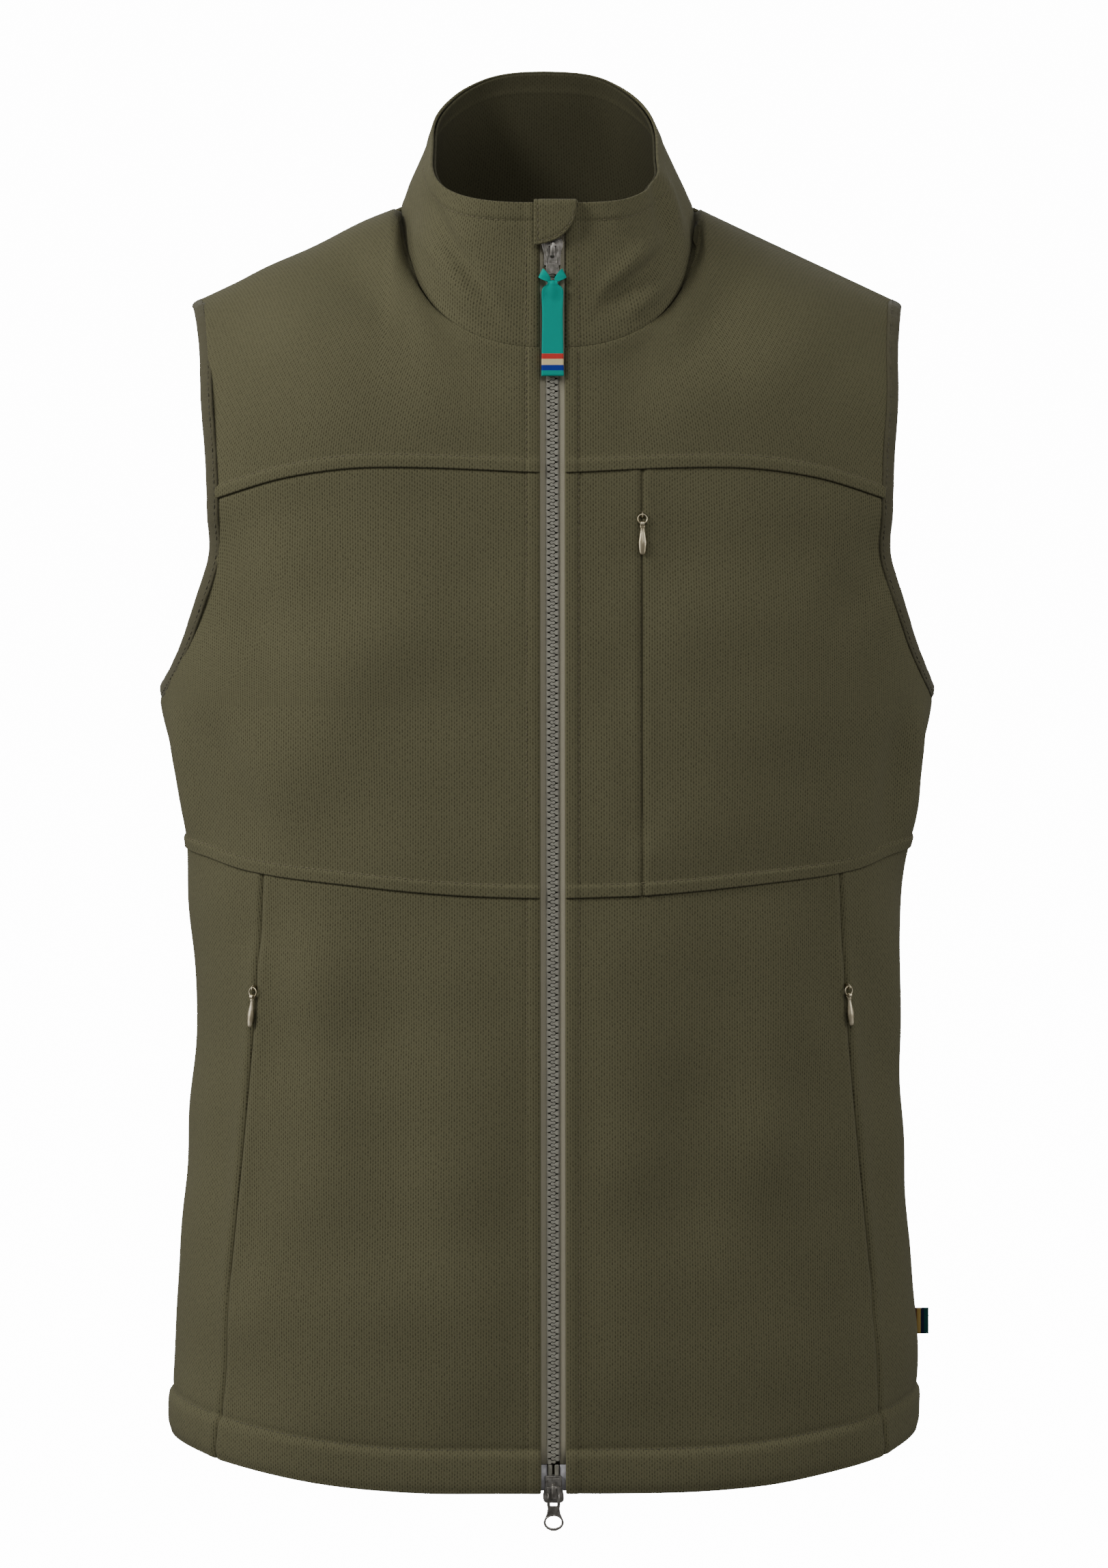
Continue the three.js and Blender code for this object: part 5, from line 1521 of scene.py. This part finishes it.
def drop_mesh():
    profile = smooth([(-16, 0.25), (-15.8, 0.9), (-15.2, 1.35), (-13.4, 1.68), (-10, 2.0), (-6.5, 1.55), (-4, 1.12),
                      (-2.6, 1.05), (-2.0, 1.25), (-0.6, 1.3), (0.4, 1.1)])
    zs = np.concatenate([np.linspace(-16, -15, 6), np.linspace(-14.6, -3, 24), np.linspace(-2.8, 0.4, 12)])
    rings, sides = [], 24
    for z in zs:
        groove_ = 0.16 * (math.exp(-((z + 2.45) / 0.16) ** 2) + math.exp(-((z + 3.3) / 0.16) ** 2))
        r = float(profile(z)) - groove_
        rings.append([(r * math.cos(t), 0.62 * r * math.sin(t), z) for t in np.arange(sides) * 2 * math.pi / sides])
    v = np.array([p for q in rings for p in q])
    f = [(i * sides + k, i * sides + (k + 1) % sides, (i + 1) * sides + (k + 1) % sides, (i + 1) * sides + k)
         for i in range(len(zs) - 1) for k in range(sides)]
    f += [tuple(range(sides))[::-1], tuple(range((len(zs) - 1) * sides, len(zs) * sides))]
    return v, f


def disc_mesh(r, half, y, z, count=32):
    """A cylinder along x."""
    outline = [(y + r * math.cos(t), z + r * math.sin(t)) for t in np.arange(count) * 2 * math.pi / count]
    v = [(-half, a, b) for a, b in outline] + [(half, a, b) for a, b in outline]
    f = [tuple(range(count)), tuple(range(2 * count - 1, count - 1, -1))]
    f += [(i, i + count, (i + 1) % count + count, (i + 1) % count) for i in range(count)]
    return np.array(v, float), f


def pocket_zip(name, frame, long, sink, body):
    for s, tag in ((-1, "a"), (1, "b")):
        flat_cloth(f"{name}_tape_{tag}", frame, (s * SLOT_EDGE, s * 7), 1.9, 2.7, -long - 4, 4, bag_cloth,
                   [f"{name}_zip_tape"])
    coils = [coil_mesh(s * 1.15, 3.7, -long, 0) for s in (-1, 1)]
    solid(f"{name}_coils", frame, coils, coil, nodes=[f"{name}_zip_coil"])
    outer, back, top = -3 - sink, 4.8, -3.0
    eye_y, eye_z = outer + 1.35, top - 1.4
    profile = [(outer, top - 0.9), (outer + 0.9, top), (back + 0.5, top), (back + 0.5, top - 3.1),
               (outer + 0.8, top - 3.1), (outer, top - 2.3)]
    n = len(profile)
    stem = (np.array([(x, y, z) for x in (-STEM / 2, STEM / 2) for y, z in profile]),
            [tuple(range(n)), tuple(range(2 * n - 1, n - 1, -1))]
            + [(i, i + n, (i + 1) % n + n, (i + 1) % n) for i in range(n)])
    solid(f"{name}_slider_stem", frame, [stem], champagne, f"{body}_slider", [f"{name}_zip_slider"], 0.1,
          hole=[disc_mesh(0.85, 2, eye_y, eye_z)])
    solid(f"{name}_slider_foot", frame, [block_mesh((-2.2, 2.2), (back, back + 1), (top - 9, top))], champagne,
          f"{body}_slider", bevel=0.3)
    ring_centre = eye_z - 2.4
    turns = np.linspace(0, 2 * math.pi, 41)[:-1]
    loop = [(2.4 * math.cos(t), eye_y, ring_centre + 2.4 * math.sin(t)) for t in turns]
    solid(f"{name}_ring_wire", frame, [tube_mesh(loop, 0.35, 12, True)], champagne, f"{body}_pull",
          [f"{name}_zip_ring"])
    pull = frame.moved((0, eye_y, eye_z - 4.8))
    drop = solid(f"{name}_pull_drop", pull, [drop_mesh()], champagne, f"{body}_pull", [f"{name}_zip_pull"],
                 hole=[disc_mesh(0.95, 4, 0, 0)])
    head = solid(f"{name}_pull_head", pull, [disc_mesh(1.45, 1.0, 0, 0)], champagne, f"{body}_pull",
                 bevel=0.22, hole=[disc_mesh(0.95, 4, 0, 0)])
    return drop, head


pocket_zip("chest", pocket_frame(CHEST_X, CHEST_X, CHEST_ZIP[0], CHEST_ZIP[1], 0.5), CHEST_ZIP[1], 0.5, "chest")
for side, hand in ((-1, "right"), (1, "left")):
    where = pocket_frame(HAND_X[1], HAND_X[2], HAND_ZIP[0], HAND_ZIP[1], 2.8, side)
    pocket_zip(f"hand_{hand}", where, HAND_ZIP[1], 2.8, f"hand_{hand}")


def level(z):
    return lambda x: z + 0 * x


bag_inner = CHEST_X + 7.3
chest_bag = panel(edge_at(bag_inner), edge_at(bag_inner + 90), level(CHEST_ZIP[0] - CHEST_ZIP[1] - 8),
                  level(CHEST_ZIP[0] + 4))
plain = np.linspace(0, 1, 25)
cloth_piece("chest_bag_cloth", chest_bag, plain, plain, {}, bag_cloth, ["chest_pocket_bag"], near=2.4, thick=1.4)
for side, hand in ((-1, "right"), (1, "left")):
    right_bag = panel(edge_at(42), edge_at(lambda z: hand_seam(z) - 8), level(HAND_END - 60), level(HAND_ZIP[0] + 20))
    bag = mirrored(right_bag, side)
    cloth_piece(f"hand_{hand}_bag_cloth", bag, plain, plain, {}, bag_cloth, [f"hand_{hand}_pocket_bag"], near=2.4,
                thick=1.4)

# ---- side label ---------------------------------------------------------------------------------

label_x = float(half_width(70.0)) + 0.3


def label_piece():
    """A ribbon folded in two: down one face, round the fold at the outer end, back along the other."""
    profile = [(0.0, -0.42), (2.5, -0.44), (5, -0.42), (6.6, -0.36), (7.2, -0.24), (7.5, 0.0), (7.2, 0.24),
               (6.6, 0.36), (5, 0.42), (2.5, 0.44), (0.0, 0.42)]
    zs = np.linspace(-7, 7, 15)
    v, uvs = [], []
    for z in zs:
        curl = 0.25 * math.sin(z * 0.35)
        for x, y in profile:
            v.append((label_x + x, y + curl * (x / 7.5) ** 2, 70 + z))
            uvs.append((z, x))
    n, k = len(profile), len(zs)
    f = [(i * n + j, i * n + (j + 1) % n, (i + 1) * n + (j + 1) % n, (i + 1) * n + j)
         for i in range(k - 1) for j in range(n)]
    f += [tuple(range(n)), tuple(range((k - 1) * n, k * n))[::-1]]
    obj = add_object("label_cloth", place(v), f, label_weave, "vest", np.array(uvs))
    fix_normals(obj)
    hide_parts("side_label")


label_piece()

# ---- studio -------------------------------------------------------------------------------------


def aim(obj, at):
    obj.rotation_euler = (Vector(at) - obj.location).to_track_quat("-Z", "Y").to_euler()


def area_light(name, where, at, size, power, colour=(1, 1, 1)):
    data = bpy.data.lights.new(name, "AREA")
    data.shape, data.size, data.size_y = "RECTANGLE", *size
    data.energy, data.color = power, colour
    lamp = bpy.data.objects.new(name, data)
    bpy.context.scene.collection.objects.link(lamp)
    lamp.location = where
    aim(lamp, at)


MIDDLE = (0.0035, 0.0, -0.3073)
camera_data = bpy.data.cameras.new("camera")
camera_data.sensor_fit, camera_data.sensor_height, camera_data.lens = "VERTICAL", 24, 77.3
camera = bpy.data.objects.new("camera", camera_data)
bpy.context.scene.collection.objects.link(camera)
bpy.context.scene.camera = camera
turn, rise = math.radians(-1.6), math.radians(3)
toward = Vector((math.sin(turn) * math.cos(rise), -math.cos(turn) * math.cos(rise), math.sin(rise)))
camera.location = Vector(MIDDLE) + 2.7 * toward
aim(camera, MIDDLE)

FLOOR = -0.86
sweep = [(-4.0, FLOOR), (2.0, FLOOR)]
sweep += [(2.0 + 1.2 * math.sin(a), FLOOR + 1.2 * (1 - math.cos(a))) for a in np.linspace(0.1, math.pi / 2, 14)]
sweep.append((3.2, 5.0))
vertices = [(x, y, z) for x in (-6.0, 6.0) for y, z in sweep]
n = len(sweep)
mesh = bpy.data.meshes.new("backdrop")
mesh.from_pydata(vertices, [], [(i, i + 1, i + 1 + n, i + n) for i in range(n - 1)])
mesh.polygons.foreach_set("use_smooth", np.ones(n - 1, bool))
backdrop = bpy.data.objects.new("backdrop", mesh)
bpy.context.scene.collection.objects.link(backdrop)
paper = Nodes("paper", roughness=0.9)
paper.shader.inputs["Emission Color"].default_value = (1, 1, 1, 1)
paper.shader.inputs["Emission Strength"].default_value = 14.0
mesh.materials.append(paper.finish((0.92, 0.92, 0.92, 1)))
backdrop.visible_diffuse = False
backdrop.visible_glossy = False

world = bpy.data.worlds.new("studio")
bpy.context.scene.world = world
world.use_nodes = True
world.node_tree.nodes["Background"].inputs[0].default_value = (1, 1, 1, 1)
world.node_tree.nodes["Background"].inputs[1].default_value = 0.22
area_light("key", (-1.6, -1.0, 0.95), (0, 0, -0.2), (0.5, 0.7), 31)
area_light("front", (0.4, -2.6, 1.5), MIDDLE, (1.4, 0.8), 25)
area_light("rim_right", (2.0, -0.6, 0.3), MIDDLE, (0.7, 1.4), 16)
area_light("rim_left", (-2.0, -0.4, -0.1), MIDDLE, (0.7, 1.4), 14)
area_light("back", (0.0, 2.2, 1.2), MIDDLE, (2.0, 1.0), 26)
